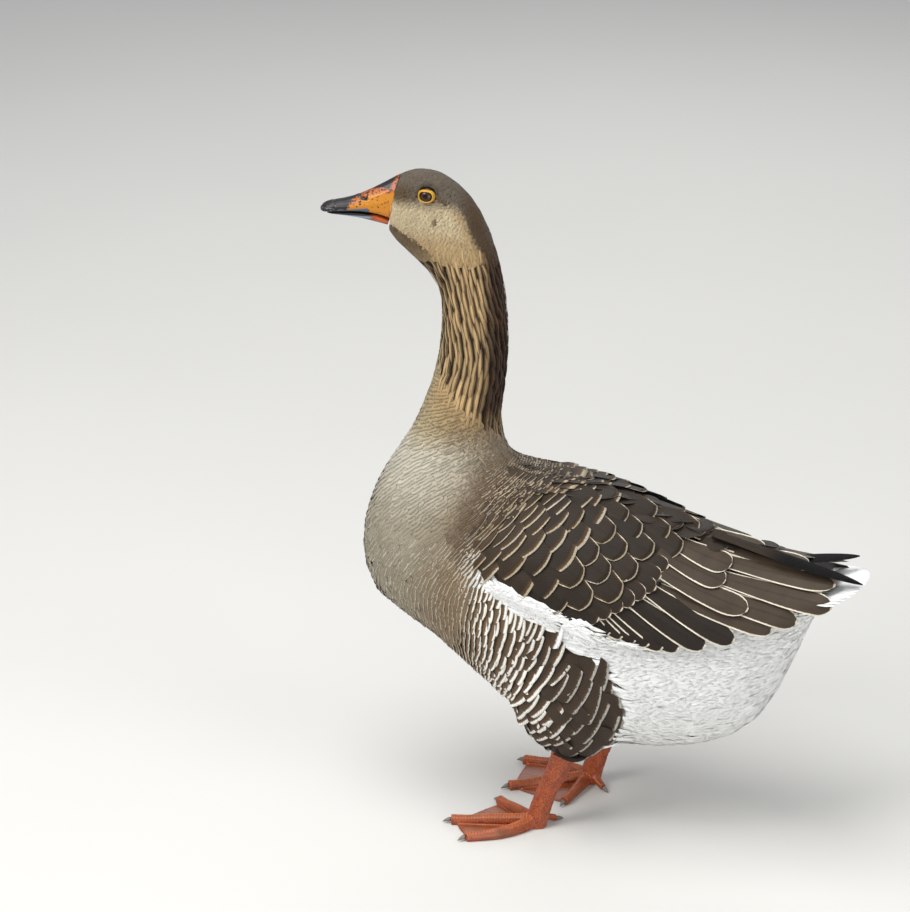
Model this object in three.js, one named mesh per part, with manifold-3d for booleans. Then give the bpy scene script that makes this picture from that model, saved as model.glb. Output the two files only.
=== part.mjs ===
// A domestic goose at life size, standing with its neck up and its head turned a little to the left.
// Millimetres, +Z up. The goose faces -Y, so its left side is +X. Shapes are worked out in its own
// terms, forward, left and up of the point on the floor between its legs, and the whole is moved at
// the end so that the origin is on the floor under the middle of its box.
import * as THREE from "three";
import { mergeVertices } from "three/addons/utils/BufferGeometryUtils.js";
import Module from "manifold-3d";

const wasm = await Module();
wasm.setup();

// ---- driving dimensions

const GAP = 0.4; // left open between neighbouring solids
const SIDES = 22; // facets round the body
const BILL_SIDES = 14;
const DISC_SIDES = 64;
const STEPS_PER_SECTION = 2; // rings from one section of the body or the bill to the next
// Facets along and round each limb, and round and from top to bottom of each ball.
const FACETS = {
  shank: [6, 10],
  toe: [5, 8],
  hindToe: [2, 8],
  claw: [3, 7],
  primaries: [9, 8],
  thigh: [14, 10],
  eye: [12, 8],
};
const WELD = 1e-4; // vertices closer than this are one

const NECK_AXIS = 106; // how far the upright neck stands in front of the legs
const HEAD_TURN = THREE.MathUtils.degToRad(13);
const TURN_STARTS = 440; // heights between which the neck takes up the turn
const TURN_ENDS = 600;

// The body from the bill to the tail: a point on the line of the back and one on the line of the
// throat, breast and belly, each [forward, up], and half the width between them.
const SECTIONS = [
  { name: "bill base", back: [180, 701], belly: [194, 641], half: 16.5 },
  { name: "brow", back: [166, 706], belly: [185, 629], half: 21.5 },
  { name: "eye", back: [149, 705.5], belly: [174, 619], half: 25 },
  { name: "cheek", back: [133, 699], belly: [164, 609], half: 27 },
  { name: "occiput", back: [110, 679], belly: [153, 598], half: 28.5 },
  { name: "neck top", back: [89, 640], belly: [143.5, 583], half: 30 },
  { name: "neck upper", back: [73.5, 577], belly: [138.5, 560], half: 31.5 },
  { name: "neck middle", back: [70, 520], belly: [141, 517], half: 33 },
  { name: "neck lower", back: [73, 476], belly: [150.5, 474], half: 37 },
  { name: "neck base", back: [79, 434], belly: [171, 423], half: 46 },
  { name: "nape", back: [70, 396], belly: [198, 380], half: 60 },
  { name: "shoulder", back: [46, 384], belly: [217, 338], half: 74 },
  { name: "breast", back: [18, 384], belly: [225, 286], half: 84 },
  { name: "breast low", back: [-4, 383], belly: [208, 233], half: 90 },
  { name: "keel", back: [-24, 381], belly: [143, 192], half: 94 },
  { name: "leg front", back: [-40, 378], belly: [66, 131], half: 96 },
  { name: "leg", back: [-60, 371], belly: [-5, 90], half: 97 },
  { name: "paunch front", back: [-88, 358], belly: [-66, 92], half: 96 },
  { name: "paunch", back: [-132, 341], belly: [-150, 104], half: 88 },
  { name: "paunch rear", back: [-178, 328], belly: [-210, 138], half: 68 },
  { name: "vent", back: [-222, 321], belly: [-245, 208], half: 49 },
  { name: "tail root", back: [-252, 318], belly: [-266, 264], half: 46 },
  { name: "tail middle", back: [-288, 316], belly: [-292, 301], half: 52 },
  { name: "tail end", back: [-322, 315], belly: [-323, 311], half: 56 },
];
const HEAD_ROUNDNESS = 2.15; // exponent of each section's outline: 2 is an ellipse
const BACK_ROUNDNESS = 2.3;
const BELLY_ROUNDNESS = 2.15;

const TAIL_DROOP = 6; // how far the edges of the tail fan hang below its middle
const TAIL_CENTRE = -226; // the tail's end is an arc about this point
const TAIL_RADIUS = 96;

// The upper half of the bill and the lower one, as sections like the body's.
const UPPER_BILL = [
  { back: [181.2, 701], belly: [192, 654.5], half: 15.5 },
  { back: [199, 690.5], belly: [204, 658.6], half: 13.8 },
  { back: [221, 679], belly: [221, 660.9], half: 12.3 },
  { back: [240, 672.4], belly: [238, 660.6], half: 11.4 },
  { back: [254, 669.8], belly: [252, 659.6], half: 10.2 },
  { back: [261, 666.5], belly: [260, 658.6], half: 7.6 },
  { back: [264.3, 662.5], belly: [263.6, 659.6], half: 3.4 },
];
const LOWER_BILL = [
  { back: [192.6, 653.4], belly: [194.6, 646.4], half: 12.6 },
  { back: [204, 657.5], belly: [206, 648.8], half: 11.8 },
  { back: [221, 659.9], belly: [221, 652.2], half: 10.4 },
  { back: [238, 659.6], belly: [238, 654.8], half: 9.4 },
  { back: [252, 658.6], belly: [252, 656], half: 7.2 },
  { back: [257, 658.2], belly: [257, 656.6], half: 4 },
];
const BILL_WAIST = 0.26; // the upper bill is widest this far up from its lower edge
const BILL_ROUNDNESS = 1.9;
const BILL_EDGE_ROUNDNESS = 3.4;

const EYE_RADIUS = 9.8;
const EYE_FORWARD = 151.8;
const EYE_SIDE = 14.4;
const EYE_HEIGHT = 683.2;

const THIGH_CENTRE = [-26, 57, 174];
const THIGH_RADII = [76, 46, 80];

// Where each foot stands, and which way its middle toe points, in degrees to the left of forward.
// The turns are those of its other toes from the middle one, positive to the foot's outer side.
const FEET = {
  left: { side: 1, forward: 15, aside: 60, heading: 16, turns: { outer: 27, inner: -49, hind: 210 } },
  right: { side: -1, forward: -10, aside: 55, heading: 31, turns: { outer: 43, inner: -50, hind: 246 } },
};
const SHANK_LEAN = 28; // how far the heel joint lies behind the foot
const SHANK_TOP = 122;
const HEEL_HEIGHT = 82;
const SOLE_HEIGHT = 2; // where the shank's middle line ends, in the pad under the ankle
const SHANK_CUT = 0.84; // share of the way down the shank where the foot begins
const SHANK = { depth: 10.4, width: 8 }; // half its size from front to back and across
const HEEL = { share: 0.35, spread: 0.14, depth: 2, width: 1.6 }; // how it swells there
const ANKLE = { share: 1, spread: 0.2, depth: 1.6, width: 2 };
const TOES = {
  middle: { length: 90, width: 7.4, bow: 0 }, // bow is how far it curves out sideways
  outer: { length: 82, width: 7, bow: 9 },
  inner: { length: 62, width: 6.4, bow: 0 },
};
const TOE_HEIGHT = 15; // at its root
const TOE_TIP_HEIGHT = 9.5;
const TOE_TIP_WIDTH = 0.72; // share of its width at the root
const TOE_CREST = 0.58; // share of a toe's height that lies above its widest level
const KNUCKLE_SIZE = 0.8;
const KNUCKLES = 3;
const WEB_THICKNESS = 2.4;
const WEB_REACH = 0.94; // share of a toe's length that the web reaches
const WEB_FULLNESS = 0.99; // and of the point that draws its edge out between two toes
const CLAW_LENGTH = 9;
const CLAW_RADIUS = 3.2;
const CLAW_WIDTH = 0.8; // share of its height
const CLAW_TAPER = 1.45;
const TOE_CLAW = { root: 5, tip: 2 }; // heights of a claw's ends
const HIND_TOE = { length: 25, bow: 0 };
const HIND_TOE_HEIGHTS = { root: 14, tip: 3 };
const HIND_TOE_RADII = { root: 5.2, tip: 3.6 };
const HIND_CLAW = { root: 2.6, tip: 0.6 };

// The folded wing, from the wrist to the tip of the longest tertial feather: how far forward each
// section is, the wing's half width there and the level of its widest point, the heights of its top
// and of its lower edge, how far aside of the midline the two wings meet, and how far short of that
// line each wing stops.
const WING_SECTIONS = [
  { forward: 66, half: 106, level: 250, top: 396, lower: 292, meet: 0, open: 28, round: 2.4 },
  { forward: 30, half: 112, level: 245, top: 390, lower: 283, meet: 0, open: 18, round: 2.25 },
  { forward: -20, half: 115, level: 240, top: 386, lower: 267, meet: 0, open: 9, round: 2.1 },
  { forward: -75, half: 115, level: 238, top: 373, lower: 250, meet: 3, open: 3, round: 1.9 },
  { forward: -130, half: 109, level: 240, top: 356, lower: 247, meet: 14, open: 1, round: 1.7 },
  { forward: -180, half: 97, level: 247, top: 345, lower: 255, meet: 24, open: 1, round: 1.6 },
  { forward: -215, half: 86, level: 256, top: 338, lower: 261, meet: 22, open: 1, round: 1.6 },
  { forward: -243, half: 73, level: 269, top: 334, lower: 276, meet: 18, open: 1, round: 1.6 },
  { forward: -272, half: 61, level: 281, top: 330, lower: 287, meet: 12, open: 2, round: 1.7 },
  { forward: -298, half: 51, level: 297, top: 325, lower: 303, meet: 9, open: 6, round: 1.8 },
];
const WRIST_BULGE = 16; // how far the wrist's round front edge stands out
const WING_ROOT_THICKNESS = 14;
const WING_TIP_THICKNESS = 7;
const WING_EDGE_THICKNESS = 4;
const WING_STEPS = 17;
const WING_ROWS = 7;

// The long black feathers of each wing tip: where they run, each point [forward, left, up].
const PRIMARIES = {
  right: [
    [-160, 16, 348],
    [-205, 27, 340],
    [-262, 25, 330],
    [-319, 22, 317],
  ],
  left: [
    [-200, 14, 322],
    [-236, 0, 320],
    [-270, -16, 321],
    [-304, -30, 325],
  ],
};
const PRIMARY_WIDTH = 11; // half the width of the bundle
const PRIMARY_THICKNESS = 3; // half its thickness
const PRIMARY_ROOT = 0.5; // share of its width where it comes out of the wing
const PRIMARY_POINT = 0.05; // and at its tip

// ---- finishes

function finish(color, roughness) {
  return new THREE.MeshStandardMaterial({ color, roughness, metalness: 0 });
}
const FINISHES = {
  headFeather: finish(0x9c8b73, 0.9),
  neckFeather: finish(0xb09c7c, 0.9),
  breastFeather: finish(0xbfb4a2, 0.9),
  whiteFeather: finish(0xf1efe9, 0.9),
  wingFeather: finish(0x4b4139, 0.8),
  flightFeather: finish(0x1c1815, 0.7),
  tailFeather: finish(0xe9e7e2, 0.8),
  billHorn: finish(0xd98218, 0.4),
  eye: finish(0x20140e, 0.1),
  legSkin: finish(0xc9502a, 0.6),
  claw: finish(0x6a6258, 0.5),
};

// ---- shaping helpers

function at(forward, left, up) {
  return new THREE.Vector3(left, -forward, up);
}

// Spline values at any step, counted in sections, of a list of sections.
function lines(sections) {
  const points = (key) => sections.map((s) => new THREE.Vector2(...s[key]));
  return {
    last: sections.length - 1,
    back: new THREE.SplineCurve(points("back")),
    belly: new THREE.SplineCurve(points("belly")),
    half: new THREE.SplineCurve(sections.map((s, i) => new THREE.Vector2(i, s.half))),
  };
}

// A point of a section's outline: angle 0 is the back, a quarter turn the left side. A reach of 0
// is the section's middle and 1 its outline, which grow moves outwards.
function sectionPoint(line, step, angle, reach, form) {
  const share = step / line.last;
  const back = line.back.getPoint(share);
  const belly = line.belly.getPoint(share);
  const half = line.half.getPoint(share).y + form.grow;
  const outwards = back.clone().sub(belly).setLength(form.grow);
  back.add(outwards);
  belly.sub(outwards);
  const middle = belly.clone().lerp(back, form.waist);
  const up = Math.cos(angle);
  const side = Math.sin(angle);
  const power = 2 / (up > 0 ? form.roundTop : form.roundBottom);
  const edge = up > 0 ? back : belly;
  const place = middle.clone().lerp(edge, Math.abs(up) ** power * reach);
  const left = half * Math.sign(side) * Math.abs(side) ** power * reach;
  return { forward: place.x, left, up: place.y, level: middle.y };
}

// Turns a point about the neck's axis as far as the head's turn reaches at that level.
function turned(point) {
  const share = THREE.MathUtils.smoothstep(point.level, TURN_STARTS, TURN_ENDS);
  const cos = Math.cos(HEAD_TURN * share);
  const sin = Math.sin(HEAD_TURN * share);
  const reach = point.forward - NECK_AXIS;
  return at(
    NECK_AXIS + reach * cos - point.left * sin,
    reach * sin + point.left * cos,
    point.up,
  );
}

// A closed tube: place gives the point for a share of the way along, an angle and a reach.
function tube(steps, sides, place) {
  const geometry = new THREE.CylinderGeometry(1, 1, 1, sides, steps);
  const position = geometry.getAttribute("position");
  for (let i = 0; i < position.count; i++) {
    const along = 0.5 - position.getY(i);
    const reach = Math.min(1, Math.hypot(position.getX(i), position.getZ(i)));
    const angle = Math.atan2(-position.getX(i), position.getZ(i));
    position.setXYZ(i, ...place(along, angle, Math.round(reach)));
  }
  return geometry;
}

function solidOf(geometry) {
  geometry.deleteAttribute("normal");
  geometry.deleteAttribute("uv");
  const merged = mergeVertices(geometry, WELD);
  const mesh = new wasm.Mesh({
    numProp: 3,
    vertProperties: merged.getAttribute("position").array,
    triVerts: new Uint32Array(merged.index.array),
  });
  return new wasm.Manifold(mesh);
}

function joined(solids) {
  return solids.reduce((whole, solid) => whole.add(solid));
}

function cutBy(solid, cutters) {
  return cutters.reduce((rest, cutter) => rest.subtract(cutter), solid);
}

const goose = new THREE.Group();

// Adds a solid as a named mesh. A cut can leave crumbs, so only its largest body is kept.
function addPart(name, solid, material) {
  const bodies = solid.decompose();
  bodies.sort((a, b) => b.volume() - a.volume());
  const { vertProperties, triVerts } = bodies[0].getMesh();
  const geometry = new THREE.BufferGeometry();
  geometry.setAttribute("position", new THREE.BufferAttribute(vertProperties, 3));
  geometry.setIndex(new THREE.BufferAttribute(triVerts, 1));
  const mesh = new THREE.Mesh(geometry, material);
  mesh.name = name;
  goose.add(mesh);
}

// ---- body

const bodyLines = lines(SECTIONS);
const HEAD_FORM = {
  grow: 0,
  waist: 0.45,
  roundTop: HEAD_ROUNDNESS,
  roundBottom: HEAD_ROUNDNESS,
};
const TRUNK_FORM = {
  grow: 0,
  waist: 0.5,
  roundTop: BACK_ROUNDNESS,
  roundBottom: BELLY_ROUNDNESS,
};

function sectionIndex(name) {
  return SECTIONS.findIndex((section) => section.name === name);
}

// The head's rounder sections pass into the trunk's fuller ones along the neck.
function formAt(step, grow) {
  const from = sectionIndex("occiput");
  const share = THREE.MathUtils.smoothstep(step, from, sectionIndex("breast"));
  const mix = (key) => THREE.MathUtils.lerp(HEAD_FORM[key], TRUNK_FORM[key], share);
  return {
    grow,
    waist: mix("waist"),
    roundTop: mix("roundTop"),
    roundBottom: mix("roundBottom"),
  };
}

// The tail fan's sides hang a little below its middle.
function droop(step, left) {
  const share = THREE.MathUtils.smoothstep(
    step,
    sectionIndex("vent"),
    sectionIndex("tail middle"),
  );
  return TAIL_DROOP * share * (left / SECTIONS.at(-1).half) ** 2;
}

function bodyTube(from, to, grow) {
  const steps = Math.ceil((to - from) * STEPS_PER_SECTION);
  return tube(steps, SIDES, (along, angle, reach) => {
    const step = THREE.MathUtils.lerp(from, to, along);
    const point = sectionPoint(bodyLines, step, angle, reach, formAt(step, grow));
    point.up -= droop(step, point.left);
    return turned(point);
  });
}

// The step just past a cut, far enough for the gap on the back and on the belly.
function pastCut(step) {
  const tick = 0.002;
  const moved = (line, next) =>
    line.getPoint(next / bodyLines.last).distanceTo(line.getPoint(step / bodyLines.last));
  let next = step;
  while (moved(bodyLines.back, next) < GAP || moved(bodyLines.belly, next) < GAP) {
    next += tick;
  }
  return next;
}

function bodyLength(fromName, toName, grow = 0) {
  const first = sectionIndex(fromName);
  const start = first === 0 ? 0 : pastCut(first);
  return solidOf(bodyTube(start, sectionIndex(toName), grow));
}

// ---- eyes, set in sockets

function ball(radii, centre, facets) {
  const geometry = new THREE.SphereGeometry(1, ...facets);
  geometry.rotateX(Math.PI / 2);
  geometry.scale(...radii);
  geometry.translate(...centre);
  return geometry;
}

function eyeBall(side, grow) {
  const radius = EYE_RADIUS + grow;
  const centre = turned({
    forward: EYE_FORWARD,
    left: EYE_SIDE * side,
    up: EYE_HEIGHT,
    level: EYE_HEIGHT,
  });
  return solidOf(ball([radius, radius, radius], centre, FACETS.eye));
}

// ---- bill

const UPPER_BILL_FORM = {
  grow: 0,
  waist: BILL_WAIST,
  roundTop: BILL_ROUNDNESS,
  roundBottom: BILL_EDGE_ROUNDNESS,
};
const LOWER_BILL_FORM = {
  grow: 0,
  waist: 1 - BILL_WAIST,
  roundTop: BILL_EDGE_ROUNDNESS,
  roundBottom: BILL_ROUNDNESS,
};

function billHalf(sections, form) {
  const line = lines(sections);
  const steps = STEPS_PER_SECTION * line.last;
  // The bill's sections run forwards and the body's run back, so this tube starts at the tip.
  const place = (along, angle, reach) =>
    turned(sectionPoint(line, line.last * (1 - along), angle, reach, form));
  return solidOf(tube(steps, BILL_SIDES, place));
}

// ---- legs and feet

function thigh(side, grow) {
  const [forward, left, up] = THIGH_CENTRE;
  const [length, width, height] = THIGH_RADII.map((radius) => radius + grow);
  return solidOf(ball([width, length, height], at(forward, left * side, up), FACETS.thigh));
}

// How much of a swelling a limb has at a share of its length.
function swelling({ share, spread }, along) {
  return Math.exp(-(((along - share) / spread) ** 2));
}

// The shank: from inside the thigh feathers down to the heel joint and forwards to the foot.
function shankPath({ side, forward, aside }) {
  const left = aside * side;
  return new THREE.CatmullRomCurve3([
    at(forward - SHANK_LEAN - 2, left, SHANK_TOP),
    at(forward - SHANK_LEAN, left, HEEL_HEIGHT),
    at(forward - SHANK_LEAN * 0.47, left, HEEL_HEIGHT * 0.56),
    at(forward, left, SOLE_HEIGHT),
  ]);
}

function shankTube(foot, from, to, grow) {
  const path = shankPath(foot);
  const across = new THREE.Vector3(1, 0, 0);
  return solidOf(
    tube(...FACETS.shank, (along, angle, reach) => {
      const share = THREE.MathUtils.lerp(from, to, along);
      const heel = swelling(HEEL, share);
      const ankle = swelling(ANKLE, share);
      const depth = SHANK.depth + HEEL.depth * heel + ANKLE.depth * ankle + grow;
      const width = SHANK.width + HEEL.width * heel + ANKLE.width * ankle + grow;
      const behind = across.clone().cross(path.getTangentAt(share));
      const point = path.getPointAt(share);
      point.addScaledVector(behind, depth * Math.cos(angle) * reach);
      point.addScaledVector(across, width * Math.sin(angle) * reach);
      point.z = Math.max(point.z, 0);
      return point;
    }),
  );
}

// A point of a foot: a share of the way out along a toe, so far aside of it, and so high.
function footPoint(foot, name, share, aside, up) {
  const toe = toeOf(name);
  const turn = THREE.MathUtils.degToRad(foot.heading + foot.side * (foot.turns[name] ?? 0));
  const out = toe.length * share;
  const across = aside + foot.side * toe.bow * Math.sin(Math.PI * Math.min(share, 1));
  return at(
    foot.forward + out * Math.cos(turn) - across * Math.sin(turn),
    foot.aside * foot.side + out * Math.sin(turn) + across * Math.cos(turn),
    up,
  );
}

function toeOf(name) {
  return TOES[name] ?? HIND_TOE;
}

// A toe with its knuckles, flat underneath. The tube starts at the tip.
function toeSolid(foot, name) {
  const toe = TOES[name];
  return solidOf(
    tube(...FACETS.toe, (along, angle, reach) => {
      const knuckle = KNUCKLE_SIZE * Math.cos(along * KNUCKLES * 2 * Math.PI) * (1 - along);
      const height = THREE.MathUtils.lerp(TOE_TIP_HEIGHT, TOE_HEIGHT, along) + knuckle;
      const half = toe.width * THREE.MathUtils.lerp(TOE_TIP_WIDTH, 1, along) + knuckle / 2;
      const up = height * (1 - TOE_CREST + TOE_CREST * Math.cos(angle) * reach);
      const aside = half * Math.sin(angle) * reach;
      return footPoint(foot, name, 1 - along, aside, Math.max(0, up));
    }),
  );
}

// The web is stretched between the toes, nearly to their tips.
function web(foot) {
  const corner = (name, share) => {
    const { x, y } = footPoint(foot, name, share, 0, 0);
    return new THREE.Vector2(x, y);
  };
  const shape = new THREE.Shape();
  shape.moveTo(...corner("middle", 0));
  shape.lineTo(...corner("inner", WEB_REACH));
  for (const [near, far] of [
    ["inner", "middle"],
    ["middle", "outer"],
  ]) {
    const middle = corner(near, WEB_FULLNESS).lerp(corner(far, WEB_FULLNESS), 0.5);
    shape.quadraticCurveTo(...middle, ...corner(far, WEB_REACH));
  }
  shape.quadraticCurveTo(...corner("outer", 0.5), ...corner("outer", 0));
  const options = { depth: WEB_THICKNESS, bevelEnabled: false, curveSegments: 3 };
  return solidOf(new THREE.ExtrudeGeometry(shape, options));
}

// A claw on a toe: root and tip are the heights of its ends.
function claw(foot, name, { root, tip }) {
  const { length } = toeOf(name);
  return solidOf(
    tube(...FACETS.claw, (along, angle, reach) => {
      const out = 1 - along;
      const radius = CLAW_RADIUS * Math.cos(out * CLAW_TAPER);
      const level = THREE.MathUtils.lerp(root, tip, out ** 2);
      const up = level + radius * Math.cos(angle) * reach;
      const aside = CLAW_WIDTH * radius * Math.sin(angle) * reach;
      const share = 1 + (GAP + CLAW_LENGTH * out) / length;
      return footPoint(foot, name, share, aside, Math.max(0, up));
    }),
  );
}

// The short hind toe comes down from the ankle to rest on its tip.
function hindToe(foot) {
  const between = ({ root, tip }, along) => THREE.MathUtils.lerp(tip, root, along);
  return solidOf(
    tube(...FACETS.hindToe, (along, angle, reach) => {
      const radius = between(HIND_TOE_RADII, along);
      const up = between(HIND_TOE_HEIGHTS, along) + radius * Math.cos(angle) * reach;
      const aside = radius * Math.sin(angle) * reach;
      return footPoint(foot, "hind", 1 - along, aside, Math.max(0, up));
    }),
  );
}

// ---- wings and tail

// The values of the wing's sections at a share of its length, from splines through the table.
const wingValues = Object.fromEntries(
  Object.keys(WING_SECTIONS[0]).map((key) => [
    key,
    new THREE.SplineCurve(WING_SECTIONS.map((section, i) => new THREE.Vector2(i, section[key]))),
  ]),
);

function wingAt(share) {
  const values = {};
  for (const [key, curve] of Object.entries(wingValues)) {
    values[key] = curve.getPoint(share).y;
  }
  return values;
}

// A folded wing: a curved slab whose outer face is part of a rounded section, thin at its edges.
function wingSlab(side) {
  const geometry = new THREE.BoxGeometry(1, 1, 1, WING_STEPS, WING_ROWS, 1);
  const position = geometry.getAttribute("position");
  for (let i = 0; i < position.count; i++) {
    const share = 0.5 + side * position.getX(i);
    const row = position.getY(i) + 0.5;
    const w = wingAt(share);
    const power = 2 / w.round;
    const height = w.top - w.level;
    const inner = w.open - side * w.meet;
    const low = Math.asin(((w.lower - w.level) / height) ** (1 / power));
    const high = Math.acos(Math.sign(inner) * (Math.abs(inner) / w.half) ** (1 / power));
    const angle = THREE.MathUtils.lerp(low, high, row);
    const thickness = THREE.MathUtils.lerp(WING_ROOT_THICKNESS, WING_TIP_THICKNESS, share);
    const border = Math.min(1, 5 * row * (1 - row) + 0.1) * Math.min(1, 5 * share + 0.1);
    const inwards =
      position.getZ(i) > 0 ? (thickness - WING_EDGE_THICKNESS) * (1 - border) : thickness;
    const cos = Math.cos(angle);
    const left = (w.half - inwards) * Math.sign(cos) * Math.abs(cos) ** power;
    const up = w.level + (height - inwards) * Math.sin(angle) ** power;
    const bulge = WRIST_BULGE * 4 * row * (1 - row) * (1 - share) ** 6;
    position.setXYZ(i, ...at(w.forward + bulge, left * side, up));
  }
  return solidOf(geometry);
}

// The bundle of long black feathers at a wing's tip, flat, and pointed at its end.
function primaries(side, grow = 0) {
  const path = new THREE.CatmullRomCurve3(PRIMARIES[side].map((point) => at(...point)));
  const up = new THREE.Vector3(0, 0, 1);
  return solidOf(
    tube(...FACETS.primaries, (along, angle, reach) => {
      const taper = Math.min(1, PRIMARY_ROOT + along) * (1 - along ** 3) + PRIMARY_POINT;
      const aside = path.getTangentAt(along).cross(up).normalize().negate();
      const over = aside.clone().cross(path.getTangentAt(along));
      const point = path.getPointAt(along);
      point.addScaledVector(aside, (PRIMARY_WIDTH * taper + grow) * Math.sin(angle) * reach);
      point.addScaledVector(over, (PRIMARY_THICKNESS * taper + grow) * Math.cos(angle) * reach);
      return point;
    }),
  );
}

// A disc round the tail's centre trims the fan's end to an arc.
function tailDisc() {
  const disc = new THREE.CylinderGeometry(TAIL_RADIUS, TAIL_RADIUS, TAIL_RADIUS, DISC_SIDES);
  disc.rotateX(Math.PI / 2);
  disc.translate(...at(TAIL_CENTRE, 0, SECTIONS.at(-1).back[1]));
  return solidOf(disc);
}

// ---- the goose, put together

const sides = Object.keys(FEET);
const bundles = sides.map((name) => primaries(name, GAP));
const thighs = sides.map((name) => thigh(FEET[name].side, GAP));
const eyes = sides.map((name) => eyeBall(FEET[name].side, GAP));
const bodyUnderWings = solidOf(
  bodyTube(sectionIndex("neck base"), SECTIONS.length - 1, GAP),
);

addPart("bill_upper", billHalf(UPPER_BILL, UPPER_BILL_FORM), FINISHES.billHorn);
addPart("bill_lower", billHalf(LOWER_BILL, LOWER_BILL_FORM), FINISHES.billHorn);
addPart("head", cutBy(bodyLength("bill base", "neck top"), eyes), FINISHES.headFeather);
addPart("neck_upper", bodyLength("neck top", "neck middle"), FINISHES.neckFeather);
addPart("neck_lower", bodyLength("neck middle", "neck base"), FINISHES.neckFeather);
addPart("breast", cutBy(bodyLength("neck base", "breast low"), thighs), FINISHES.breastFeather);
addPart("trunk", cutBy(bodyLength("breast low", "paunch"), thighs), FINISHES.breastFeather);
addPart("abdomen", cutBy(bodyLength("paunch", "tail root"), bundles), FINISHES.whiteFeather);
addPart(
  "tail",
  cutBy(bodyLength("tail root", "tail end").intersect(tailDisc()), bundles),
  FINISHES.tailFeather,
);

for (const name of sides) {
  const foot = FEET[name];
  const cut = SHANK_CUT - GAP / shankPath(foot).getLength();
  const wing = cutBy(wingSlab(foot.side), [bodyUnderWings, ...bundles]);
  addPart(`eye_${name}`, eyeBall(foot.side, 0), FINISHES.eye);
  addPart(`wing_${name}`, wing, FINISHES.wingFeather);
  addPart(`primaries_${name}`, primaries(name), FINISHES.flightFeather);
  addPart(
    `thigh_${name}`,
    cutBy(thigh(foot.side, 0), [shankTube(foot, 0, cut, GAP)]),
    FINISHES.wingFeather,
  );
  addPart(`shank_${name}`, shankTube(foot, 0, cut, 0), FINISHES.legSkin);
  const toes = Object.keys(TOES).map((toe) => toeSolid(foot, toe));
  const pieces = [shankTube(foot, SHANK_CUT, 1, 0), web(foot), hindToe(foot), ...toes];
  addPart(`foot_${name}`, joined(pieces), FINISHES.legSkin);
  for (const toe of Object.keys(TOES)) {
    addPart(`claw_${name}_${toe}`, claw(foot, toe, TOE_CLAW), FINISHES.claw);
  }
  addPart(`claw_${name}_hind`, claw(foot, "hind", HIND_CLAW), FINISHES.claw);
}

// The origin is on the floor under the middle of the whole bird's box.
const model = new THREE.Group();
model.add(goose);
const box = new THREE.Box3().setFromObject(goose);
const centre = box.getCenter(new THREE.Vector3());
goose.position.set(-centre.x, -centre.y, -box.min.z);

export default model;
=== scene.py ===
import math

import bmesh
import bpy
import numpy as np
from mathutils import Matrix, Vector
from mathutils.bvhtree import BVHTree
from mathutils.kdtree import KDTree

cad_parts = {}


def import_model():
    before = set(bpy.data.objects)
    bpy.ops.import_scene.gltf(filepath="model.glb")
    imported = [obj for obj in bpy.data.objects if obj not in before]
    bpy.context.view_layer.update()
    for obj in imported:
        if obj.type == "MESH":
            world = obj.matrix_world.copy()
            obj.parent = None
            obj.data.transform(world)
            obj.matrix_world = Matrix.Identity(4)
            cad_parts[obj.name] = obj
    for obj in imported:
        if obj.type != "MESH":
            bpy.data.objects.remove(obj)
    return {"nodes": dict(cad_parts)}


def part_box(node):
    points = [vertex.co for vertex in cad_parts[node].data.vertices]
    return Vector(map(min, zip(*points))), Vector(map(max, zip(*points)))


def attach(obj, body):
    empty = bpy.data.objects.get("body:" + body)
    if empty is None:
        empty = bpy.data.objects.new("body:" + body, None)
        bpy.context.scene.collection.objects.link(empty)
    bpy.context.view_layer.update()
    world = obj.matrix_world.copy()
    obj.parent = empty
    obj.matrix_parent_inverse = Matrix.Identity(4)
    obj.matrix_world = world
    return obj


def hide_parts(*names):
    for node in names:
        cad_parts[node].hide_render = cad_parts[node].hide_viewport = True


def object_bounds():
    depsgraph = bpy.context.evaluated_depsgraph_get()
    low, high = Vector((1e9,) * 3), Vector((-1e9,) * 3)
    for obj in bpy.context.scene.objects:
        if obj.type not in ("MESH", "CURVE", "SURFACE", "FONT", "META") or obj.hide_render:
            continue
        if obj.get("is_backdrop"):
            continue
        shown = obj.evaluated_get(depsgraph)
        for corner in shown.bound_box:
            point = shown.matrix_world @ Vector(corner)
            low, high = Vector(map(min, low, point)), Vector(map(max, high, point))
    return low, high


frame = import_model()
cad_low, cad_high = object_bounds()

# ---- Camera and room -------------------------------------------------------------------------
# A plain pale studio floor under soft lamps. Places on the goose are given in its own
# millimetres: forward of the leg line, left of its middle, and up from the floor.
TAIL_TIP = -322.0
trunk_low, trunk_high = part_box("trunk")
MIDDLE = 500 * (trunk_low.x + trunk_high.x)
REAR = 1000 * cad_high.y + TAIL_TIP


def world(points):
    """Metres in the row frame, from the goose's millimetres."""
    p = np.asarray(points, float)
    return np.stack([MIDDLE + p[..., 1], REAR - p[..., 0], p[..., 2]], -1) / 1000


def goose(points):
    """The goose's millimetres, from metres in the row frame."""
    p = 1000 * np.asarray(points, float)
    return np.stack([REAR - p[..., 1], p[..., 0] - MIDDLE, p[..., 2]], -1)


def linear(colour):
    """Linear RGB of an sRGB hex colour."""
    parts = [int(colour[i:i + 2], 16) / 255 for i in (1, 3, 5)]
    return [c / 12.92 if c <= 0.04045 else ((c + 0.055) / 1.055) ** 2.4 for c in parts]


def aimed(name, data, place, aim):
    """A lamp or camera at a place on the goose's scale, looking at another."""
    thing = bpy.data.objects.new(name, data)
    bpy.context.scene.collection.objects.link(thing)
    thing.location = Vector(world(place))
    towards = Vector(world(aim)) - Vector(world(place))
    thing.rotation_euler = towards.to_track_quat("-Z", "Y").to_euler()
    return thing


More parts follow.
